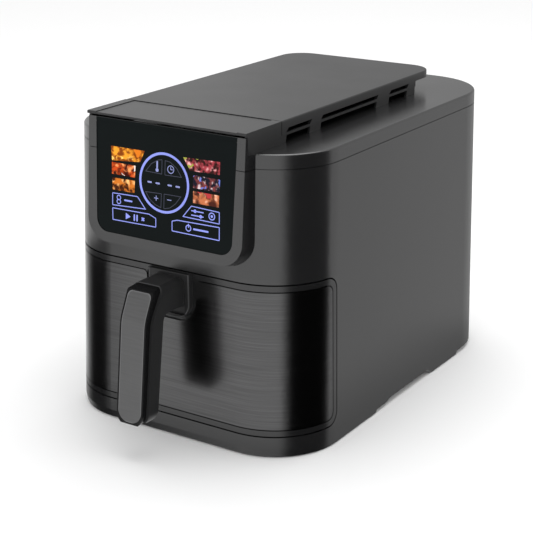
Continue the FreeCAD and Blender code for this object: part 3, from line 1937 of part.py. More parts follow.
def grip_front(name, half, low, corner, high, top_corner):
    """Front outline of a grip piece, right through the handle."""
    corners = [
        (f"-({half})", low, corner),
        (half, low, corner),
        (half, high, top_corner),
        (f"-({half})", high, top_corner),
    ]
    return extrude(name, outline(f"{name}_outline", corners, "front"), "2 * body_depth")


def grip_side(name, corners):
    """Side profile (y, z) of a grip piece, wider than the grip."""
    return extrude(name, outline(f"{name}_profile", corners, "side"), "2 * arm_half", "2 * arm_half")


arm_side = grip_side(
    "arm_side",
    [
        ("-bracket_face", "arm_low"),
        ("-bracket_face", "arm_high"),
        ("-arm_front_y", "arm_front_z", "arm_nose"),
        ("-bend_y", "bend_z", "bend_round"),
        ("-tip_y", "tip_z"),
        ("-heel_y", "heel_z", "heel_round"),
        ("-crook_y", "crook_z", "crook_round"),
    ],
)
arm_front = grip_front("arm_front", "arm_half", "grip_low", "grip_corner", "arm_high", "arm_top_corner")
collar_half = "(arm_half + collar_rim)"
collar_corners = [
    (f"-{collar_half}", "arm_low - collar_drop", "collar_corner"),
    (collar_half, "arm_low - collar_drop", "collar_corner"),
    (collar_half, "arm_high + collar_rim", "collar_corner"),
    (f"-{collar_half}", "arm_high + collar_rim", "collar_corner"),
]
collar = extrude(
    "collar", outline("collar_outline", collar_corners, "front", y="-bracket_face"), "collar_depth"
)
arm_solid = fuse("arm_solid", common("arm_block", arm_side, arm_front), collar)
keep(cut("arm", arm_solid, *handle_screw_holes("arm_screw_hole")), "handle_arm")

shell_side = grip_side(
    "shell_side",
    [
        (
            "-(arm_front_y + (bend_y - arm_front_y) * (arm_front_z - shell_top) / (arm_front_z - bend_z))",
            "shell_top",
        ),
        ("-shell_front_y", "shell_front_z"),
        ("-shell_bend_y", "shell_bend_z", "bend_round + shell_bend_y - bend_y"),
        ("-shell_tip_y", "shell_tip_z"),
        ("-tip_y", "tip_z"),
        ("-bend_y", "bend_z", "bend_round"),
    ],
)
shell_front = grip_front(
    "shell_front", "shell_half", "grip_low", "shell_corner", "shell_top", "insert_top_corner"
)


def insert_side(name, thick):
    """Slab along the grip's front line."""
    bend = "bend_round + shell_bend_y - bend_y"
    return grip_side(
        name,
        [
            (f"-shell_front_y + ({thick})", "shell_front_z"),
            ("-shell_front_y", "shell_front_z"),
            ("-shell_bend_y", "shell_bend_z", bend),
            ("-shell_tip_y", "shell_tip_z"),
            (f"-shell_tip_y + ({thick})", "shell_tip_z"),
            (f"-shell_bend_y + ({thick})", "shell_bend_z", f"{bend} - ({thick})"),
        ],
    )


def insert_front(name, spread):
    return grip_front(
        name,
        f"insert_half + ({spread})",
        f"insert_low - ({spread})",
        f"insert_corner + ({spread})",
        f"insert_high + ({spread})",
        f"insert_top_corner + ({spread})",
    )


insert_seat = common(
    "insert_seat",
    insert_side("insert_seat_side", "insert_thick"),
    insert_front("insert_seat_front", "insert_gap"),
)
keep(cut("shell", common("shell_solid", shell_side, shell_front), insert_seat), "handle_shell")
keep(
    common("insert", insert_side("insert_slab", "insert_thick"), insert_front("insert_front", "0")),
    "handle_insert",
)

handle_head_y = (
    "-(body_depth / 2 - front_draft * (handle_screw_level + screw_head)"
    " - drawer_wall - panel_skin - fit_gap)"
)
handle_shanks = handle_screw_rods(
    "handle_shank", handle_screw_y, "handle_screw_radius", f"{handle_head_y} - ({handle_screw_y})"
)
handle_heads = handle_screw_rods("handle_head", handle_head_y, "screw_head", "screw_head_height")
handle_screws = [
    fuse(f"handle_screw_{number}", head, shank)
    for number, (head, shank) in enumerate(zip(handle_heads, handle_shanks))
]
keep(group("handle_screw_set", *handle_screws), "handle_screws")

# Pan: drawn tray with a rim that rides on the rails


def pan_outline(name, height, half, rear, inset):
    corners = [
        (f"-({half} - ({inset}))", f"{pan_front} + ({inset})", f"pan_corner - ({inset})"),
        (f"{half} - ({inset})", f"{pan_front} + ({inset})", f"pan_corner - ({inset})"),
        (f"{half} - ({inset})", f"{rear} - ({inset})", f"pan_corner - ({inset})"),
        (f"-({half} - ({inset}))", f"{rear} - ({inset})", f"pan_corner - ({inset})"),
    ]
    return outline(name, corners, z=height)


pan_outer = loft(
    "pan_outer",
    [
        pan_outline("pan_floor", "pan_low", "pan_half_low", "pan_rear_low", "0"),
        pan_outline("pan_mouth", "pan_high", "pan_half_top", "pan_rear_top", "0"),
    ],
)
pan_space = loft(
    "pan_space",
    [
        pan_outline("pan_space_floor", "pan_low + pan_sheet", "pan_half_low", "pan_rear_low", "pan_sheet"),
        pan_outline("pan_space_mouth", f"pan_high + {OVER}", "pan_half_top", "pan_rear_top", "pan_sheet"),
    ],
)
rim_corners = [
    ("-(pan_half_top + rim_width)", pan_front, "pan_corner"),
    ("pan_half_top + rim_width", pan_front, "pan_corner"),
    ("pan_half_top + rim_width", "pan_rear_top + rim_width", "pan_corner + rim_width"),
    ("-(pan_half_top + rim_width)", "pan_rear_top + rim_width", "pan_corner + rim_width"),
]
rim = extrude("rim", outline("rim_outline", rim_corners, z="pan_high - rim_thick"), "rim_thick")
keep(cut("pan_tray", fuse("pan_solid", pan_outer, rim), pan_space, *pan_screw_holes("pan_screw_hole")), "pan")

pan_shanks = pan_screw_rods(
    "pan_shank", pan_screw_front, "screw_radius", f"{pan_front} + pan_sheet - ({pan_screw_front})"
)
pan_heads = pan_screw_rods("pan_head", f"{pan_front} + pan_sheet", "screw_head", "screw_head_height")
pan_screws = [
    fuse(f"pan_screw_{number}", head, shank)
    for number, (head, shank) in enumerate(zip(pan_heads, pan_shanks))
]
keep(group("pan_screw_set", *pan_screws), "pan_screws")

# Crisper: perforated plate with a turned-down rim, on four bumpers

crisper = doc.addObject("PartDesign::Body", "crisper")


def crisper_corners(inset):
    return [
        (f"-(crisper_half - ({inset}))", f"-(crisper_front - ({inset}))", f"crisper_corner - ({inset})"),
        (f"crisper_half - ({inset})", f"-(crisper_front - ({inset}))", f"crisper_corner - ({inset})"),
        (f"crisper_half - ({inset})", f"crisper_rear - ({inset})", f"crisper_corner - ({inset})"),
        (f"-(crisper_half - ({inset}))", f"crisper_rear - ({inset})", f"crisper_corner - ({inset})"),
    ]


crisper_outline = body_sketch(crisper, "crisper_outline", "XY_Plane", "crisper_low")
draw_loop(crisper_outline, crisper_corners("0"))
pad(crisper, "crisper_block", crisper_outline, "crisper_high - crisper_low")
crisper_under = body_sketch(crisper, "crisper_under", "XY_Plane", "crisper_low")
draw_loop(crisper_under, crisper_corners("crisper_sheet"))
pocket(crisper, "crisper_hollow", crisper_under, "crisper_high - crisper_low - crisper_sheet")
crisper_hole = body_sketch(crisper, "crisper_hole", "XY_Plane", "crisper_low")
hole_x = "-(hole_columns - 1) * hole_column_pitch / 2"
hole_y = "(crisper_rear - crisper_front) / 2 - (hole_rows - 1) * hole_row_pitch / 2"
draw_loop(
    crisper_hole,
    [
        (f"{hole_x} - hole_length / 2", f"{hole_y} - hole_width / 2"),
        (f"{hole_x} + hole_length / 2", f"{hole_y} - hole_width / 2"),
        (f"{hole_x} + hole_length / 2", f"{hole_y} + hole_width / 2"),
        (f"{hole_x} - hole_length / 2", f"{hole_y} + hole_width / 2"),
    ],
)
crisper_slot = pocket(crisper, "crisper_slot", crisper_hole, f"crisper_high - crisper_low + {OVER}")


def linear_pattern(body, role, name, length, count):
    pattern = body.newObject("PartDesign::LinearPattern", name)
    axis = next(item for item in body.Origin.OriginFeatures if item.Role == role)
    pattern.Direction = (axis, [""])
    bind(pattern, {"Length": length, "Occurrences": count})
    return pattern


hole_grid = crisper.newObject("PartDesign::MultiTransform", "hole_grid")
hole_grid.Originals = [crisper_slot]
hole_grid.Transformations = [
    linear_pattern(
        crisper, "X_Axis", "hole_column", "(hole_columns - 1) * hole_column_pitch", "hole_columns"
    ),
    linear_pattern(crisper, "Y_Axis", "hole_row", "(hole_rows - 1) * hole_row_pitch", "hole_rows"),
]
crisper.Tip = hole_grid
keep(crisper, "crisper_plate")

bumper_low = "pan_low + pan_sheet + bumper_play"
bumpers = four_rods(
    "bumper",
    "crisper_half - crisper_sheet / 2",
    "bumper_spread",
    bumper_low,
    "bumper_radius",
    f"crisper_low - ({bumper_low})",
)
keep(group("bumper_set", *bumpers), "crisper_bumpers")

# Check every object, then write one file for each sub-part

doc.recompute()
faults = [item.Name for item in doc.Objects if "Invalid" in item.State or "Error" in item.State]
for item in parts:
    if item.Shape.isNull() or not item.Shape.isValid():
        faults.append(item.Label)
if faults:
    raise RuntimeError(f"faulty: {faults}")
os.makedirs("parts", exist_ok=True)
for item in parts:
    item.Shape.exportStep(f"parts/{item.Label}.step")
    print(item.Label, len(item.Shape.Solids), round(item.Shape.Volume))
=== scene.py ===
import math

import bmesh
import bpy
from mathutils import Matrix, Vector


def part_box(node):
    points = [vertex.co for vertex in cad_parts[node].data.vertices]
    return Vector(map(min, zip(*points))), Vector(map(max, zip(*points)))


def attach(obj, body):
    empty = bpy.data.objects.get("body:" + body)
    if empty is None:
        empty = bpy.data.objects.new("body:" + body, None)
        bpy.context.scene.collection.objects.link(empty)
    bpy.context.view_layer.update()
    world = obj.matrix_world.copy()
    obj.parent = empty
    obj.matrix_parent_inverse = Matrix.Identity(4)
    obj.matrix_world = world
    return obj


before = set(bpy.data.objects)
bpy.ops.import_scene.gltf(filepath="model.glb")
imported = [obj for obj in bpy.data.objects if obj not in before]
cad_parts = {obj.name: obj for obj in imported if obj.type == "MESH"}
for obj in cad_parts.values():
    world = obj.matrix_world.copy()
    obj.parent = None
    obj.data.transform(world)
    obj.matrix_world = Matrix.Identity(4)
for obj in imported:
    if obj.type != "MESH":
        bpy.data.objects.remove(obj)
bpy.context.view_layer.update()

# Housing and upper cap: two moulded shells of near-black plastic with a fine spark-eroded grain.
# The cap rests on the housing by a recessed lip, which leaves a fine seam between them.
# Each of them carries half of the console frame.


def feed(tree, node, feeds):
    """Set a node's sockets, each by a plain value or by a link from another socket."""
    for socket, source in feeds.items():
        if isinstance(source, bpy.types.NodeSocket):
            tree.links.new(source, node.inputs[socket])
        else:
            node.inputs[socket].default_value = source


def add(tree, kind, feeds=(), **settings):
    """New shader node in a tree, with its settings and its sockets fed."""
    node = tree.nodes.new(f"ShaderNode{kind}")
    for word, setting in settings.items():
        setattr(node, word, setting)
    feed(tree, node, dict(feeds))
    return node


def reckon(tree, operation, *terms):
    """One step of arithmetic on sockets or plain numbers."""
    return add(tree, "Math", dict(enumerate(terms)), operation=operation).outputs[0]


def shader_group(name, inputs, outputs):
    """Empty node group with named sockets: its tree, the sockets it is given and its output node."""
    tree = bpy.data.node_groups.new(name, "ShaderNodeTree")
    for way, sockets in (("INPUT", inputs), ("OUTPUT", outputs)):
        for word, kind in sockets.items():
            tree.interface.new_socket(word, in_out=way, socket_type=f"NodeSocket{kind}")
    return tree, tree.nodes.new("NodeGroupInput").outputs, tree.nodes.new("NodeGroupOutput")


def surface_group(name, measure, kind):
    """Empty group for a surface, with a socket of its own for the measure of its pattern."""
    inputs = {
        "Point": "Vector",
        "Colour": "Color",
        "Drift": "Float",
        measure: kind,
        "Roughness": "Float",
        "Spread": "Float",
    }
    return shader_group(name, inputs, {"Colour": "Color", "Roughness": "Float", "Height": "Float"})


PATTERN_MIDDLE = 0.5


def spread_round(tree, middle, spread, pattern):
    """Middle value plus the spread times a pattern that lies around its own middle."""
    centred = reckon(tree, "SUBTRACT", pattern, PATTERN_MIDDLE)
    return reckon(tree, "MULTIPLY_ADD", centred, spread, middle)


def put_out_surface(tree, given, made, pattern, height):
    """Let a pattern vary the colour and the roughness, and put them out with a height."""
    lightness = spread_round(tree, 1.0, given["Drift"], pattern)
    shade = add(tree, "HueSaturation", {"Color": given["Colour"], "Value": lightness})
    gloss = spread_round(tree, given["Roughness"], given["Spread"], pattern)
    feed(tree, made, {"Colour": shade.outputs["Color"], "Roughness": gloss, "Height": height})


CLOUDS_PER_METRE = 17
moulded_grain, given, made = surface_group("moulded_grain", "Grain", "Float")
point = given["Point"]
grains = add(moulded_grain, "TexNoise", {"Vector": point, "Scale": given["Grain"], "Detail": 2})
clouds = add(moulded_grain, "TexNoise", {"Vector": point, "Scale": CLOUDS_PER_METRE, "Detail": 4})
put_out_surface(moulded_grain, given, made, clouds.outputs["Fac"], grains.outputs["Fac"])


def blank_finish(name):
    """New material: itself, its tree and its shader."""
    finish = bpy.data.materials.new(name)
    finish.use_nodes = True
    return finish, finish.node_tree, finish.node_tree.nodes["Principled BSDF"]


RELIEF_STRENGTH = 0.6


def surfaced(name, pattern, relief, settings, uniform):
    """Material with the colour, roughness and relief of a surface group, and uniform values."""
    finish, tree, shader = blank_finish(name)
    point = add(tree, "TexCoord").outputs["Object"]
    texture = add(tree, "Group", {"Point": point, **settings}, node_tree=pattern).outputs
    bump = add(
        tree, "Bump", {"Strength": RELIEF_STRENGTH, "Distance": relief, "Height": texture["Height"]}
    )
    look = {
        "Base Color": texture["Colour"],
        "Roughness": texture["Roughness"],
        "Normal": bump.outputs["Normal"],
    }
    feed(tree, shader, {**look, **uniform})
    return finish


def moulded(name, colour, roughness, index, grain=900.0, relief=0.00002, drift=0.25, spread=0.08):
    """Moulded finish of plastic, rubber or glass.

    It takes the refractive index, the grains in a metre and their height in metres, and how far the
    colour drifts and the roughness spreads over the piece.
    """
    settings = {
        "Colour": (*colour, 1),
        "Drift": drift,
        "Grain": grain,
        "Roughness": roughness,
        "Spread": spread,
    }
    return surfaced(name, moulded_grain, relief, settings, {"IOR": index})


def dress(finish, *nodes):
    """Give a finish to every slot of the named pieces."""
    for node in nodes:
        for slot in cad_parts[node].material_slots:
            slot.material = finish


shell_black = moulded("shell_black", (0.0105, 0.0105, 0.011), roughness=0.24, index=1.78)
dress(shell_black, "housing", "upper_cap")

# Base plate, foot pads and base screws: a dull black moulded cover that lies on the foot blocks.
# The pads are rubber discs pressed into those blocks, and four zinc-plated screws pass up through
# the plate's posts into the chamber's floor.

base_black = moulded(
    "base_black", (0.018, 0.018, 0.018), roughness=0.62, index=1.45, grain=500.0, relief=0.00005
)
dress(base_black, "base_plate")
rubber = moulded("pad_rubber", (0.02, 0.02, 0.02), roughness=0.82, index=1.4, grain=420.0, relief=0.0001)
dress(rubber, "foot_pads")

drawn_streaks, given, made = surface_group("drawn_streaks", "Pitch", "Vector")
stretched = add(
    drawn_streaks, "VectorMath", {0: given["Point"], 1: given["Pitch"]}, operation="MULTIPLY"
)
streaks = add(
    drawn_streaks,
    "TexNoise",
    {"Vector": stretched.outputs[0], "Scale": 1, "Detail": 6, "Roughness": 0.65},
)
put_out_surface(drawn_streaks, given, made, streaks.outputs["Fac"], streaks.outputs["Fac"])

METAL = {"Metallic": 1}


def drawn(name, colour, roughness, pitch, relief=0.00002, drift=0.4, spread=0.15, uniform=METAL):
    """Drawn, brushed or turned finish: the pitch sets how many streaks lie in a metre each way."""
    settings = {
        "Colour": (*colour, 1),
        "Drift": drift,
        "Pitch": pitch,
        "Roughness": roughness,
        "Spread": spread,
    }
    return surfaced(name, drawn_streaks, relief, settings, uniform)


screw_steel = drawn("screw_zinc", (0.58, 0.58, 0.56), roughness=0.32, pitch=(900, 900, 300))
dress(screw_steel, "base_screws")

# Cooking chamber: a tub of sheet steel with a flat roof, a frame at its mouth and two rails inside.
# It stands on the base plate's posts, and its rails carry the rim of the pan.

sheet_steel = drawn("chamber_sheet", (0.46, 0.46, 0.45), roughness=0.36, pitch=(60, 60, 700))
dress(sheet_steel, "chamber", "chamber_roof", "front_frame", "drawer_rails")

# Heater, dome and guard: one sheathed tube bent into two laps with a hairpin, browned by its heat.
# A dome of bright aluminium on the chamber's roof covers it and throws the glow down.
# A dished and slotted guard of sheet steel lies under it.

heater_sheath = drawn(
    "heater_sheath", (0.2, 0.16, 0.13), roughness=0.48, pitch=(90, 90, 90), relief=0.00004, drift=1.1
)
dress(heater_sheath, "heater")
bright_sheet = drawn("bright_sheet", (0.72, 0.72, 0.71), roughness=0.24, pitch=(300, 300, 300))
dress(bright_sheet, "reflector_dome")
dress(sheet_steel, "heater_guard")

# Motor and fans: a stator and rotor of stacked sheet between two bearing bridges, on a bracket that
# stands on the chamber's roof. Two long screws hold the stator and the bridges together.
# The steel shaft carries two fans of bright sheet, and a nut holds the lower one.

dress(sheet_steel, "motor_bracket")
stacked_sheet = drawn(
    "stacked_sheet", (0.22, 0.22, 0.23), roughness=0.5, pitch=(20, 20, 1400), relief=0.00008, drift=1.0
)
dress(stacked_sheet, "motor_rotor", "motor_stator")
dress(bright_sheet, "motor_bridge_lower", "motor_bridge_upper", "hot_air_fan", "cooling_fan")
dress(screw_steel, "motor_shaft", "motor_screws", "fan_nut")

# Interlock switch, thermal cut-out and sensor: dull brown moulded cases, and a plain steel probe.
# The switch stands behind the front frame beside the chamber, and the others sit on the dome.

switch_brown = moulded(
    "switch_brown", (0.05, 0.035, 0.026), roughness=0.55, index=1.5, grain=500.0, relief=0.00006
)
dress(switch_brown, "interlock_switch", "thermal_cutout")
dress(screw_steel, "temperature_sensor")

# Rear vent and cord gland: a dull black moulded grille of five slots, fitted into the rear wall.
# The gland is a rubber sleeve with a flange, set in a hole of its own.

vent_black = moulded(
    "vent_black", (0.016, 0.016, 0.016), roughness=0.5, index=1.45, grain=800.0, relief=0.00004
)
dress(vent_black, "rear_vent")
dress(rubber, "cord_gland")

# Boards: green laminate, with the mains board hung from posts under the cap.
# The control board lies behind the panel of the display.

board_green = moulded(
    "board_green", (0.012, 0.06, 0.026), roughness=0.42, index=1.5, grain=260.0, relief=0.0002
)
dress(board_green, "display_board", "power_board")

# Display: dark touch glass set in the console's window, over a black lit panel.
# A dark border closes the glass along its top. The panel's ring, marks, buttons and picture fields
# are thin lit shapes laid on the glass.

POLISHED = 0.000001
glass = moulded(
    "touch_glass",
    (0.0042, 0.0064, 0.0066),
    roughness=0.1,
    index=1.15,
    grain=60.0,
    relief=POLISHED,
    drift=0.5,
    spread=0.05,
)
dress(glass, "display_glass")
panel_black = moulded("panel_black", (0.01, 0.01, 0.014), roughness=0.2, index=1.5)
dress(panel_black, "display_module")

# What lies on the glass is drawn in millimetres from the middle of the console's top edge.
LEAN = math.radians(4.12)
CONSOLE_FRONT = 0.2012
CONSOLE_HIGH = 0.289
GLASS_RECESS = 0.0006
MILLIMETRE = 0.001
CONSOLE = Matrix((
    (1, 0, 0, 0),
    (0, math.sin(LEAN), -math.cos(LEAN), -CONSOLE_FRONT + GLASS_RECESS * math.cos(LEAN)),
    (0, math.cos(LEAN), math.sin(LEAN), CONSOLE_HIGH - GLASS_RECESS * math.sin(LEAN)),
    (0, 0, 0, 1),
)) @ Matrix.Scale(MILLIMETRE, 4)
SHEET_THICK = 0.04
PRINT_LEVEL = 0.06
BORDER_LEVEL = 0.66
CORNER_STEPS = 4
DISC_STEPS = 64
END_ROUND = 0.8


def rounded_plate(corners, rounding):
    """Flat plate through corners in millimetres, each corner rounded."""
    plate = bmesh.new()
    points = [plate.verts.new((across, up, 0)) for across, up in corners]
    plate.faces.new(points)
    bmesh.ops.bevel(
        plate,
        geom=points,
        offset=rounding,
        offset_type="OFFSET",
        affect="VERTICES",
        segments=CORNER_STEPS,
        profile=0.5,
        material=-1,
    )
    return plate


def disc(across, up, radius):
    """Flat round plate about a point."""
    plate = bmesh.new()
    middle = Matrix.Translation((across, up, 0))
    bmesh.ops.create_circle(plate, cap_ends=True, segments=DISC_STEPS, radius=radius, matrix=middle)
    return plate


def line_round(plate, width):
    """Keep only a line along a plate's edge."""
    inside = plate.faces[:]
    bmesh.ops.inset_region(plate, faces=inside, thickness=width, use_boundary=True, use_even_offset=True)
    bmesh.ops.delete(plate, geom=inside, context="FACES")
    return plate


def bar(across, up, length, width, turn=0.0):
    """Small bar with rounded ends, turned about its middle by degrees."""
    half, rise = length / 2, width / 2
    plate = rounded_plate([(-half, -rise), (half, -rise), (half, rise), (-half, rise)], rise * END_ROUND)
    plate.transform(Matrix.Translation((across, up, 0)) @ Matrix.Rotation(math.radians(turn), 4, "Z"))
    return plate


def set_down(name, shape, finish):
    """Object made of a shape, with one finish."""
    mesh = bpy.data.meshes.new(name)
    shape.to_mesh(mesh)
    shape.free()
    mesh.materials.append(finish)
    piece = bpy.data.objects.new(name, mesh)
    bpy.context.scene.collection.objects.link(piece)
    return piece


def lay_on_glass(name, finish, plates, level=PRINT_LEVEL):
    """One piece of flat plates, laid at a level in millimetres over the glass."""
    joined = bmesh.new()
    for plate in plates:
        part = bpy.data.meshes.new("part")
        plate.to_mesh(part)
        plate.free()
        joined.from_mesh(part)
        bpy.data.meshes.remove(part)
    bmesh.ops.recalc_face_normals(joined, faces=joined.faces[:])
    bmesh.ops.solidify(joined, geom=joined.faces[:], thickness=SHEET_THICK)
    bmesh.ops.recalc_face_normals(joined, faces=joined.faces[:])
    joined.transform(CONSOLE @ Matrix.Translation((0, 0, level)))
    piece = set_down(name, joined, finish)
    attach(piece, "body")


BORDER_CORNER = 0.3
border = [(-74.6, -3.7), (74.6, -3.7), (74.7, -0.2), (-74.7, -0.2)]
lay_on_glass("display_top_border", glass, [rounded_plate(border, BORDER_CORNER)], BORDER_LEVEL)


def base_colour(shader):
    """Socket that feeds a shader's base colour."""
    return shader.inputs["Base Color"].links[0].from_socket


def lit(name, colour, strength):
    """Lit print: its glow drifts a little over the panel."""
    finish = moulded(name, colour, roughness=0.4, index=1.1, relief=POLISHED, drift=0.5, spread=0.05)
    tree = finish.node_tree
    shader = tree.nodes["Principled BSDF"]
    feed(tree, shader, {"Emission Color": base_colour(shader), "Emission Strength": strength})
    return finish


lit_line = lit("lit_line", (0.19, 0.22, 0.56), 0.78)
faint_line = lit("faint_line", (0.04, 0.042, 0.06), 0.8)
lit_mark = lit("lit_mark", (0.19, 0.21, 0.4), 0.8)

DIAL = (0.0, -49.4)
RING_RADIUS = 26.7
RING_WIDTH = 2.2
lay_on_glass("display_ring", lit_line, [line_round(disc(*DIAL, RING_RADIUS), RING_WIDTH)])

QUARTER_CORNER = 0.6
QUARTER_LINE = 0.55
quarters = [
    [(-20.4, -41.8), (-14.0, -34.0), (-6.6, -29.8), (-2.2, -29.0), (-2.2, -42.1)],
    [(0.6, -42.4), (0.6, -29.2), (6.4, -30.0), (13.4, -34.4), (19.0, -42.0)],
    [(-20.1, -59.5), (-2.2, -58.9), (-2.4, -71.9), (-9.0, -70.0), (-15.0, -66.0)],
    [(0.2, -58.7), (18.8, -58.5), (13.0, -66.0), (7.0, -70.6), (0.2, -72.3)],
]
quarter_lines = [line_round(rounded_plate(shape, QUARTER_CORNER), QUARTER_LINE) for shape in quarters]
lay_on_glass("display_quarters", faint_line, quarter_lines)

UPRIGHT = 90
SIGN_LINE = 0.7
CLOCK = (6.9, -36.6)
clock = [
    line_round(disc(*CLOCK, 3.6), SIGN_LINE),
    bar(6.9, -35.5, 2.4, SIGN_LINE, UPRIGHT),
    bar(7.9, -36.6, 2.4, SIGN_LINE),
]
gauge = [bar(-7.6, -34.6, 7.0, 1.6, UPRIGHT), disc(-7.6, -39.0, 1.6)]
signs = [
    bar(-8.0, -63.9, 4.6, SIGN_LINE),
    bar(-8.0, -63.9, 4.6, SIGN_LINE, UPRIGHT),
    bar(6.0, -63.5, 4.6, SIGN_LINE),
]
dashes = [bar(across, -50.6, 4.6, 1.5) for across in (-15.4, -6.7, 6.2, 14.7)]
lay_on_glass("display_marks", lit_mark, clock + gauge + signs + dashes)

BUTTON_CORNER = 0.8
BUTTON_LINE = 0.8
buttons = [
    [(-56.4, -65.9), (-28.2, -65.2), (-18.6, -75.8), (-56.2, -77.5)],
    [(-56.2, -79.5), (-15.3, -78.9), (-7.6, -81.7), (-7.4, -90.1), (-55.7, -90.8)],
    [(29.3, -64.7), (20.2, -75.9), (59.3, -76.5), (58.9, -65.7)],
    [(9.1, -81.2), (15.0, -79.4), (59.4, -78.7), (59.8, -90.8), (9.4, -90.5)],
]
button_lines = [line_round(rounded_plate(shape, BUTTON_CORNER), BUTTON_LINE) for shape in buttons]
loop_marks = [line_round(disc(-49.0, up, 2.4), BUTTON_LINE) for up in (-69.6, -73.2)]
loop_marks += [bar(-38.5, -71.0, 9.0, 1.5)]
DIAGONAL = 45
ARROW_CORNER = 0.5
start_marks = [
    rounded_plate([(-41.0, -82.0), (-41.0, -88.0), (-35.6, -85.0)], ARROW_CORNER),
    bar(-31.5, -85.0, 6.0, 1.5, UPRIGHT),
    bar(-28.5, -85.0, 6.0, 1.5, UPRIGHT),
    bar(-22.0, -85.0, 4.0, 1.3, DIAGONAL),
    bar(-22.0, -85.0, 4.0, 1.3, -DIAGONAL),
]
KNOB = (51.0, -70.8)
KNOB_LINE = 0.9
slide_marks = [bar(36.0, up, 13.0, 1.0) for up in (-69.0, -72.8)]
slide_marks += [disc(33.5, -69.0, 1.5), disc(39.5, -72.8, 1.5)]
slide_marks += [line_round(disc(*KNOB, 3.4), KNOB_LINE), disc(*KNOB, 1.2)]
power_marks = [
    line_round(disc(27.0, -84.9, 3.0), KNOB_LINE),
    bar(27.0, -82.8, 3.6, KNOB_LINE, UPRIGHT),
    bar(40.0, -84.9, 16.0, 1.6),
]
button_marks = loop_marks + start_marks + slide_marks + power_marks
lay_on_glass("display_buttons", lit_line, button_lines + button_marks)


def blended(tree, first, second, share):
    """Mix of two colours by a share."""
    feeds = {"A": first, "B": second, "Factor": share}
    return add(tree, "Mix", feeds, data_type="RGBA").outputs["Result"]


def stepped(tree, value, low, high, start=0.0, end=1.0):
    """Smooth step from a start to an end, while a value goes from low to high."""
    feeds = {"Value": value, "From Min": low, "From Max": high, "To Min": start, "To Max": end}
    return add(tree, "MapRange", feeds, interpolation_type="SMOOTHSTEP").outputs["Result"]


BENDS_PER_METRE = 160
BEND = (0.006, 0.006, 0.006)
baked_lumps, given, made = shader_group(
    "baked_lumps",
    {
        "Point": "Vector",
        "Dark": "Color",
        "Middle": "Color",
        "Light": "Color",
        "Fleck": "Color",
        "Size": "Float",
        "Flecks": "Float",
    },
    {"Colour": "Color"},
)
bends = add(baked_lumps, "TexNoise", {"Vector": given["Point"], "Scale": BENDS_PER_METRE, "Detail": 2})
bent = add(
    baked_lumps,
    "VectorMath",
    {0: bends.outputs["Color"], 1: BEND, 2: given["Point"]},
    operation="MULTIPLY_ADD",
)
scaled = {"Vector": bent.outputs[0], "Scale": given["Size"]}
lumps = add(baked_lumps, "TexVoronoi", scaled, feature="SMOOTH_F1")
cells = add(baked_lumps, "TexVoronoi", scaled)
browning = add(baked_lumps, "TexNoise", {**scaled, "Detail": 5})
body_share = stepped(baked_lumps, browning.outputs["Fac"], low=0.4, high=0.62)
glint_share = stepped(baked_lumps, lumps.outputs["Distance"], low=0.42, high=0.1)
lit_share = reckon(baked_lumps, "MULTIPLY", glint_share, body_share)
chance = add(baked_lumps, "SeparateColor", {"Color": cells.outputs["Color"]}).outputs["Red"]
is_fleck = reckon(baked_lumps, "LESS_THAN", chance, given["Flecks"])
warm = blended(baked_lumps, given["Dark"], given["Middle"], body_share)
glinting = blended(baked_lumps, warm, given["Light"], lit_share)
feed(baked_lumps, made, {"Colour": blended(baked_lumps, glinting, given["Fleck"], is_fleck)})

FIELD_CORNER = 0.4
FIELD_GLOSS = {"Emission Strength": 0.85, "Roughness": 0.3, "IOR": 1.1}


def picture_field(name, corners, size, flecks, **colours):
    """Lit picture field: lumps in a dark, a middle, a light and a fleck colour."""
    finish, tree, shader = blank_finish(f"field_{name}")
    feeds = {"Point": add(tree, "TexCoord").outputs["Object"], "Size": size, "Flecks": flecks}
    for word, colour in colours.items():
        feeds[word.capitalize()] = (*colour, 1)
    baked = add(tree, "Group", feeds, node_tree=baked_lumps).outputs["Colour"]
    feed(tree, shader, {"Base Color": baked, "Emission Color": baked, **FIELD_GLOSS})
    lay_on_glass(f"display_field_{name}", finish, [rounded_plate(corners, FIELD_CORNER)])


picture_field(
    "golden",
    [(-58.4, -24.4), (-21.3, -24.2), (-26.0, -34.7), (-57.0, -37.2)],
    size=190.0,
    flecks=0.12,
    dark=(0.16, 0.035, 0.004),
    middle=(0.62, 0.24, 0.02),
    light=(0.85, 0.58, 0.16),
    fleck=(0.5, 0.13, 0.01),
)
picture_field(
    "roast",
    [(-57.2, -38.6), (-31.0, -38.6), (-31.5, -49.2), (-57.0, -49.2)],
    size=170.0,
    flecks=0.1,
    dark=(0.03, 0.004, 0.003),
    middle=(0.4, 0.05, 0.008),
    light=(0.75, 0.3, 0.1),
    fleck=(0.6, 0.5, 0.45),
)
picture_field(
    "crust",
    [(-56.4, -52.5), (-31.5, -52.0), (-31.8, -63.0), (-56.0, -63.2)],
    size=180.0,
    flecks=0.12,
    dark=(0.035, 0.008, 0.003),
    middle=(0.42, 0.12, 0.015),
    light=(0.75, 0.42, 0.16),
    fleck=(0.55, 0.5, 0.46),
)
picture_field(
    "pink",
    [(19.7, -24.0), (57.9, -23.0), (57.8, -34.1), (27.4, -34.6)],
    size=200.0,
    flecks=0.16,
    dark=(0.02, 0.007, 0.006),
    middle=(0.26, 0.035, 0.045),
    light=(0.6, 0.3, 0.3),
    fleck=(0.22, 0.23, 0.04),
)
picture_field(
    "mixed",
    [(30.6, -38.0), (58.4, -38.0), (58.2, -49.0), (30.8, -49.0)],
    size=240.0,
    flecks=0.22,
    dark=(0.008, 0.008, 0.014),
    middle=(0.13, 0.03, 0.03),
    light=(0.5, 0.42, 0.44),
    fleck=(0.1, 0.13, 0.4),
)
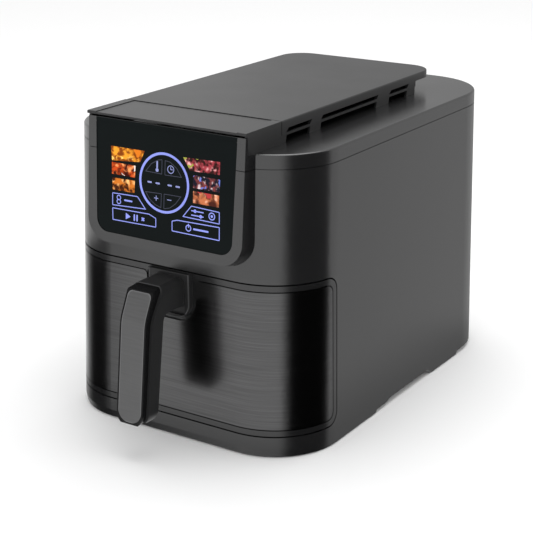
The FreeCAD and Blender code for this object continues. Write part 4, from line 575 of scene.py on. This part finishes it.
picture_field(
    "fillet",
    [(31.0, -51.7), (57.9, -51.7), (57.8, -62.0), (31.2, -62.0)],
    size=150.0,
    flecks=0.14,
    dark=(0.045, 0.012, 0.008),
    middle=(0.36, 0.11, 0.045),
    light=(0.68, 0.38, 0.26),
    fleck=(0.3, 0.03, 0.03),
)

# Deck and console cover: moulded plates in a slightly paler black, with a coarser and duller grain.
# The cover lies over the console frame, and both stand on the cap by their side walls.

deck_black = moulded(
    "deck_black", (0.016, 0.016, 0.0165), roughness=0.36, index=1.5, grain=700.0, relief=0.00003
)
dress(deck_black, "vent_deck", "console_cover")

# Drawer front and back: a moulded black shell that frames the trim panel with a narrow border.
# A flat back cover in a duller black closes the shell and carries the pan.

drawer_black = moulded("drawer_black", (0.009, 0.009, 0.0095), roughness=0.22, index=1.7)
dress(drawer_black, "drawer_front")
dress(base_black, "drawer_back")

# Trim panel: a thin skin of dark metal, brushed level and wrapped round both corners of the drawer.
# It lies in a shallow seat. Along its edge a fine dark line of painted shade stands in for the
# shadow of a gap.

box_reach, given, made = shader_group(
    "box_reach",
    {"Across": "Float", "Up": "Float", "Half across": "Float", "Half up": "Float", "Round": "Float"},
    {"Reach": "Float"},
)
past = []
for way, half in (("Across", "Half across"), ("Up", "Half up")):
    core = reckon(box_reach, "SUBTRACT", given[half], given["Round"])
    past.append(reckon(box_reach, "SUBTRACT", reckon(box_reach, "ABSOLUTE", given[way]), core))
outside = [reckon(box_reach, "MAXIMUM", amount, 0.0) for amount in past]
squares = [reckon(box_reach, "MULTIPLY", amount, amount) for amount in outside]
corner_reach = reckon(box_reach, "SQRT", reckon(box_reach, "ADD", *squares))
inner_reach = reckon(box_reach, "MINIMUM", reckon(box_reach, "MAXIMUM", *past), 0.0)
core_reach = reckon(box_reach, "ADD", corner_reach, inner_reach)
feed(box_reach, made, {"Reach": reckon(box_reach, "SUBTRACT", core_reach, given["Round"])})


def coordinates(tree):
    """Sockets with the three coordinates of a point of the piece."""
    return add(tree, "SeparateXYZ", {"Vector": add(tree, "TexCoord").outputs["Object"]}).outputs


def reach_beyond(tree, axes, middle, halves, rounding):
    """How far a point lies outside a rounded box, seen along the axis that is not named."""
    place = coordinates(tree)
    across, up = (reckon(tree, "SUBTRACT", place[axis], centre) for axis, centre in zip(axes, middle))
    half_across, half_up = halves
    feeds = {
        "Across": across,
        "Up": up,
        "Half across": half_across,
        "Half up": half_up,
        "Round": rounding,
    }
    return add(tree, "Group", feeds, node_tree=box_reach).outputs["Reach"]


def paint_edge_light_and_shade(finish, reach, inner, outer, colour):
    """Paint a highlight line or a shade line into a finish's colour near its edge, between two reaches.
    """
    tree = finish.node_tree
    shader = tree.nodes["Principled BSDF"]
    share = stepped(tree, reach, inner, outer)
    feed(tree, shader, {"Base Color": blended(tree, base_colour(shader), (*colour, 1), share)})


trim_brushed = drawn(
    "trim_brushed",
    (0.112, 0.112, 0.113),
    roughness=0.2,
    pitch=(11, 11, 900),
    relief=0.000006,
    drift=1.2,
    spread=0.12,
)
PANEL_LOW, PANEL_HIGH = (Vector(corner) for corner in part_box("trim_panel"))
PANEL_CORNER = 0.008
panel_shade_line_reach = reach_beyond(
    trim_brushed.node_tree,
    "YZ",
    (PANEL_LOW.y, (PANEL_LOW.z + PANEL_HIGH.z) / 2),
    (PANEL_HIGH.y - PANEL_LOW.y, (PANEL_HIGH.z - PANEL_LOW.z) / 2),
    PANEL_CORNER,
)
# Painted shade: the colour turns near-black in a thin band just inside the panel's edge.
paint_edge_light_and_shade(trim_brushed, panel_shade_line_reach, inner=-0.0009, outer=-0.0004, colour=(0.006, 0.006, 0.006))
dress(trim_brushed, "trim_panel")

# Handle: a satin black bracket and arm, a glossier front shell, and a grey painted insert.
# Two screws from inside the drawer hold the bracket and the arm, and the shell and the insert are
# bonded on. A pale line of painted highlight follows the rim of the bracket and the edge of the
# insert.

GRIP_COLOUR = (0.018, 0.018, 0.0185)
dress(moulded("grip_black", GRIP_COLOUR, roughness=0.34, index=1.46), "handle_arm")

bracket_black = moulded("bracket_black", GRIP_COLOUR, roughness=0.34, index=1.42)
BRACKET_LOW, BRACKET_HIGH = (Vector(corner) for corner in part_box("handle_bracket"))
BRACKET_CORNER = 0.015
rim_highlight_reach = reach_beyond(
    bracket_black.node_tree,
    "XZ",
    (0.0, BRACKET_HIGH.z),
    (BRACKET_HIGH.x, BRACKET_HIGH.z - BRACKET_LOW.z),
    BRACKET_CORNER,
)
# Painted highlight: a pale band just inside the bracket's rim, then the grip's black again inside it.
paint_edge_light_and_shade(bracket_black, rim_highlight_reach, inner=-0.0016, outer=-0.0013, colour=(0.1, 0.1, 0.102))
paint_edge_light_and_shade(bracket_black, rim_highlight_reach, inner=-0.001, outer=-0.0007, colour=GRIP_COLOUR)
dress(bracket_black, "handle_bracket")

dress(moulded("grip_gloss", (0.005, 0.005, 0.0053), roughness=0.16, index=1.26), "handle_shell")

insert_grey = drawn(
    "insert_grey",
    (0.068, 0.068, 0.069),
    roughness=0.3,
    pitch=(30, 30, 900),
    relief=0.000006,
    drift=0.7,
    spread=0.12,
    uniform={"IOR": 1.6},
)
INSERT_LOW, INSERT_HIGH = (Vector(corner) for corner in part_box("handle_insert"))
INSERT_CORNER = 0.005
insert_highlight_reach = reach_beyond(
    insert_grey.node_tree,
    "XZ",
    (0.0, (INSERT_LOW.z + INSERT_HIGH.z) / 2),
    (INSERT_HIGH.x, (INSERT_HIGH.z - INSERT_LOW.z) / 2),
    INSERT_CORNER,
)
# Painted highlight: a paler band just inside the insert's edge.
paint_edge_light_and_shade(insert_grey, insert_highlight_reach, inner=-0.0009, outer=-0.0005, colour=(0.125, 0.125, 0.128))
dress(insert_grey, "handle_insert")
dress(screw_steel, "handle_screws")

# Pan and crisper: a drawn tray and a perforated plate of aluminium under a dark non-stick coat.
# Four screws hold the pan to the drawer's back. The crisper stands in it on four rubber bumpers.

nonstick_coat = moulded(
    "nonstick_coat", (0.02, 0.02, 0.021), roughness=0.38, index=1.5, grain=1500.0, relief=0.00003
)
dress(nonstick_coat, "pan", "crisper_plate")
dress(screw_steel, "pan_screws")
dress(rubber, "crisper_bumpers")

# Floor: a plain white ground for the object to stand on and cast its shadow on.
# Reflections leave it out, so that the surround and the cards show in the black plastic.


def stage_piece(name, shape, finish):
    """Piece of the stage, which does not belong to the part."""
    piece = set_down(name, shape, finish)
    return piece


def level_square(half):
    """Level square about the origin, from half its width."""
    shape = bmesh.new()
    bmesh.ops.create_grid(shape, x_segments=1, y_segments=1, size=half)
    return shape


FLOOR_HALF = 60
floor_white = moulded(
    "floor_white", (0.92, 0.92, 0.92), roughness=0.9, index=1.05, grain=40.0, relief=0.0, drift=0.01
)
floor = stage_piece("floor", level_square(FLOOR_HALF), floor_white)
floor.visible_glossy = False

# Cards: a dark flag on each side of the object, a grey card behind it and another high in front.
# Those that stand on the ground reach below it, because reflections leave the floor out.
# A level card gives the shade at the foot, and all of them are seen in reflections only.

CARD_FOOT = -1.2


def only_reflected(card):
    """Show a card in reflections and nowhere else."""
    card.visible_camera = False
    card.visible_diffuse = False
    card.visible_transmission = False
    card.visible_shadow = False


def standing_card(name, start, end, top, finish, bottom=CARD_FOOT):
    """Upright card over a line on the floor."""
    shape = bmesh.new()
    near = shape.verts.new((*start, bottom))
    far = shape.verts.new((*end, bottom))
    raised = bmesh.ops.extrude_edge_only(shape, edges=[shape.edges.new((near, far))])
    corners = [corner for corner in raised["geom"] if isinstance(corner, bmesh.types.BMVert)]
    bmesh.ops.translate(shape, verts=corners, vec=(0, 0, top - bottom))
    only_reflected(stage_piece(name, shape, finish))


DULL_BLACK = {"Base Color": (0, 0, 0, 1), "Specular IOR Level": 0}


def card_finish(name, axis, stops):
    """Card whose glow follows stops along one axis, each a place and a level."""
    finish, tree, shader = blank_finish(name)
    places, levels = zip(*stops)
    first, last = places[0], places[-1]
    along = add(
        tree, "MapRange", {"Value": coordinates(tree)[axis], "From Min": first, "From Max": last}
    )
    glow = add(tree, "ValToRGB", {"Fac": along.outputs["Result"]})
    glow.color_ramp.interpolation = "EASE"
    marks = glow.color_ramp.elements
    for place in places[1:-1]:
        marks.new((place - first) / (last - first))
    for mark, level in zip(marks, levels):
        mark.color = (level, level, level, 1)
    feed(tree, shader, {"Emission Color": glow.outputs["Color"], "Emission Strength": 1, **DULL_BLACK})
    return finish


def side_flag(word, side, top, levels):
    """Upright flag along one side of the object, as long as its levels."""
    start, end = levels[0][0], levels[-1][0]
    finish = card_finish(f"{word}_card", "Y", levels)
    standing_card(f"{word}_flag", (side, start), (side, end), top, finish)


FLAG_SIDE = 0.28
side_flag("right", FLAG_SIDE, top=0.5, levels=[(-0.4, 1), (-0.27, 0.01), (-0.06, 0.01), (0.01, 1)])
side_flag("left", -FLAG_SIDE, top=0.115, levels=[(-0.5, 1), (-0.36, 0.03), (-0.22, 0.03), (-0.08, 1)])

CARD_TOP = 1.6
FRONT_CARD_FOOT = 0.35
rear_levels = [(-1.8, 0.8), (-1.2, 0.8), (-0.75, 0.58), (-0.1, 0.48), (0.4, 0.63), (1.6, 0.63)]
rear_card = card_finish("rear_card", "X", rear_levels)
standing_card("rear_card", (1.6, 0.7), (-1.8, 1.6), CARD_TOP, rear_card)
front_card = card_finish("front_card", "X", [(-1.9, 0.64), (-0.2, 0.64)])
standing_card("high_front_card", (-1.9, -0.7), (-0.2, -1.9), CARD_TOP, front_card, FRONT_CARD_FOOT)

FOOT_HALVES = (0.13, 0.195)
FOOT_CORNER = 0.06
SHADE_LEVEL = 0.4
SHADE_REACH = 0.11
SHADE_HALF = 0.6
contact_shade, tree, shader = blank_finish("contact_shade")
foot_reach = reach_beyond(tree, "XY", (0.0, 0.0), FOOT_HALVES, FOOT_CORNER)
cover = stepped(tree, foot_reach, low=0.0, high=SHADE_REACH, start=SHADE_LEVEL, end=0.0)
feed(tree, shader, {"Alpha": cover, **DULL_BLACK})
only_reflected(stage_piece("contact_card", level_square(SHADE_HALF), contact_shade))

# Light: an even white surround, and one square softbox hung level above the object.
# The surround lights all sides at a plain level, and the softbox adds a little from the top.

surround = bpy.data.worlds.new("white_surround")
surround.use_nodes = True
background = surround.node_tree.nodes["Background"]
feed(surround.node_tree, background, {"Color": (1, 1, 1, 1), "Strength": 1})
bpy.context.scene.world = surround

SOFTBOX_WATTS = 13.5
SOFTBOX_WIDTH = 1.4
SOFTBOX_PLACE = (0, 0.25, 1.7)
softbox = bpy.data.lights.new("softbox", "AREA")
softbox.energy = SOFTBOX_WATTS
softbox.size = SOFTBOX_WIDTH
lamp = bpy.data.objects.new("softbox", softbox)
lamp.location = SOFTBOX_PLACE
bpy.context.scene.collection.objects.link(lamp)

# Camera: a long lens from the front right, a little above the object.
# It is tilted down from the level and turned to the left, as the photograph's view is.

CAMERA_PLACE = (0.7145, -1.1484, 0.5649)
TILT_DOWN = 18.76
TURN_LEFT = 32.838
LOOK_LEVEL = 90
LENS_LENGTH = 95.91
SENSOR_WIDTH = 36
lens = bpy.data.cameras.new("camera")
lens.lens = LENS_LENGTH
lens.sensor_width = SENSOR_WIDTH
camera = bpy.data.objects.new("camera", lens)
camera.location = CAMERA_PLACE
camera.rotation_euler = (math.radians(LOOK_LEVEL - TILT_DOWN), 0, math.radians(TURN_LEFT))
bpy.context.scene.collection.objects.link(camera)
bpy.context.scene.camera = camera
bpy.context.scene.view_settings.view_transform = "Standard"
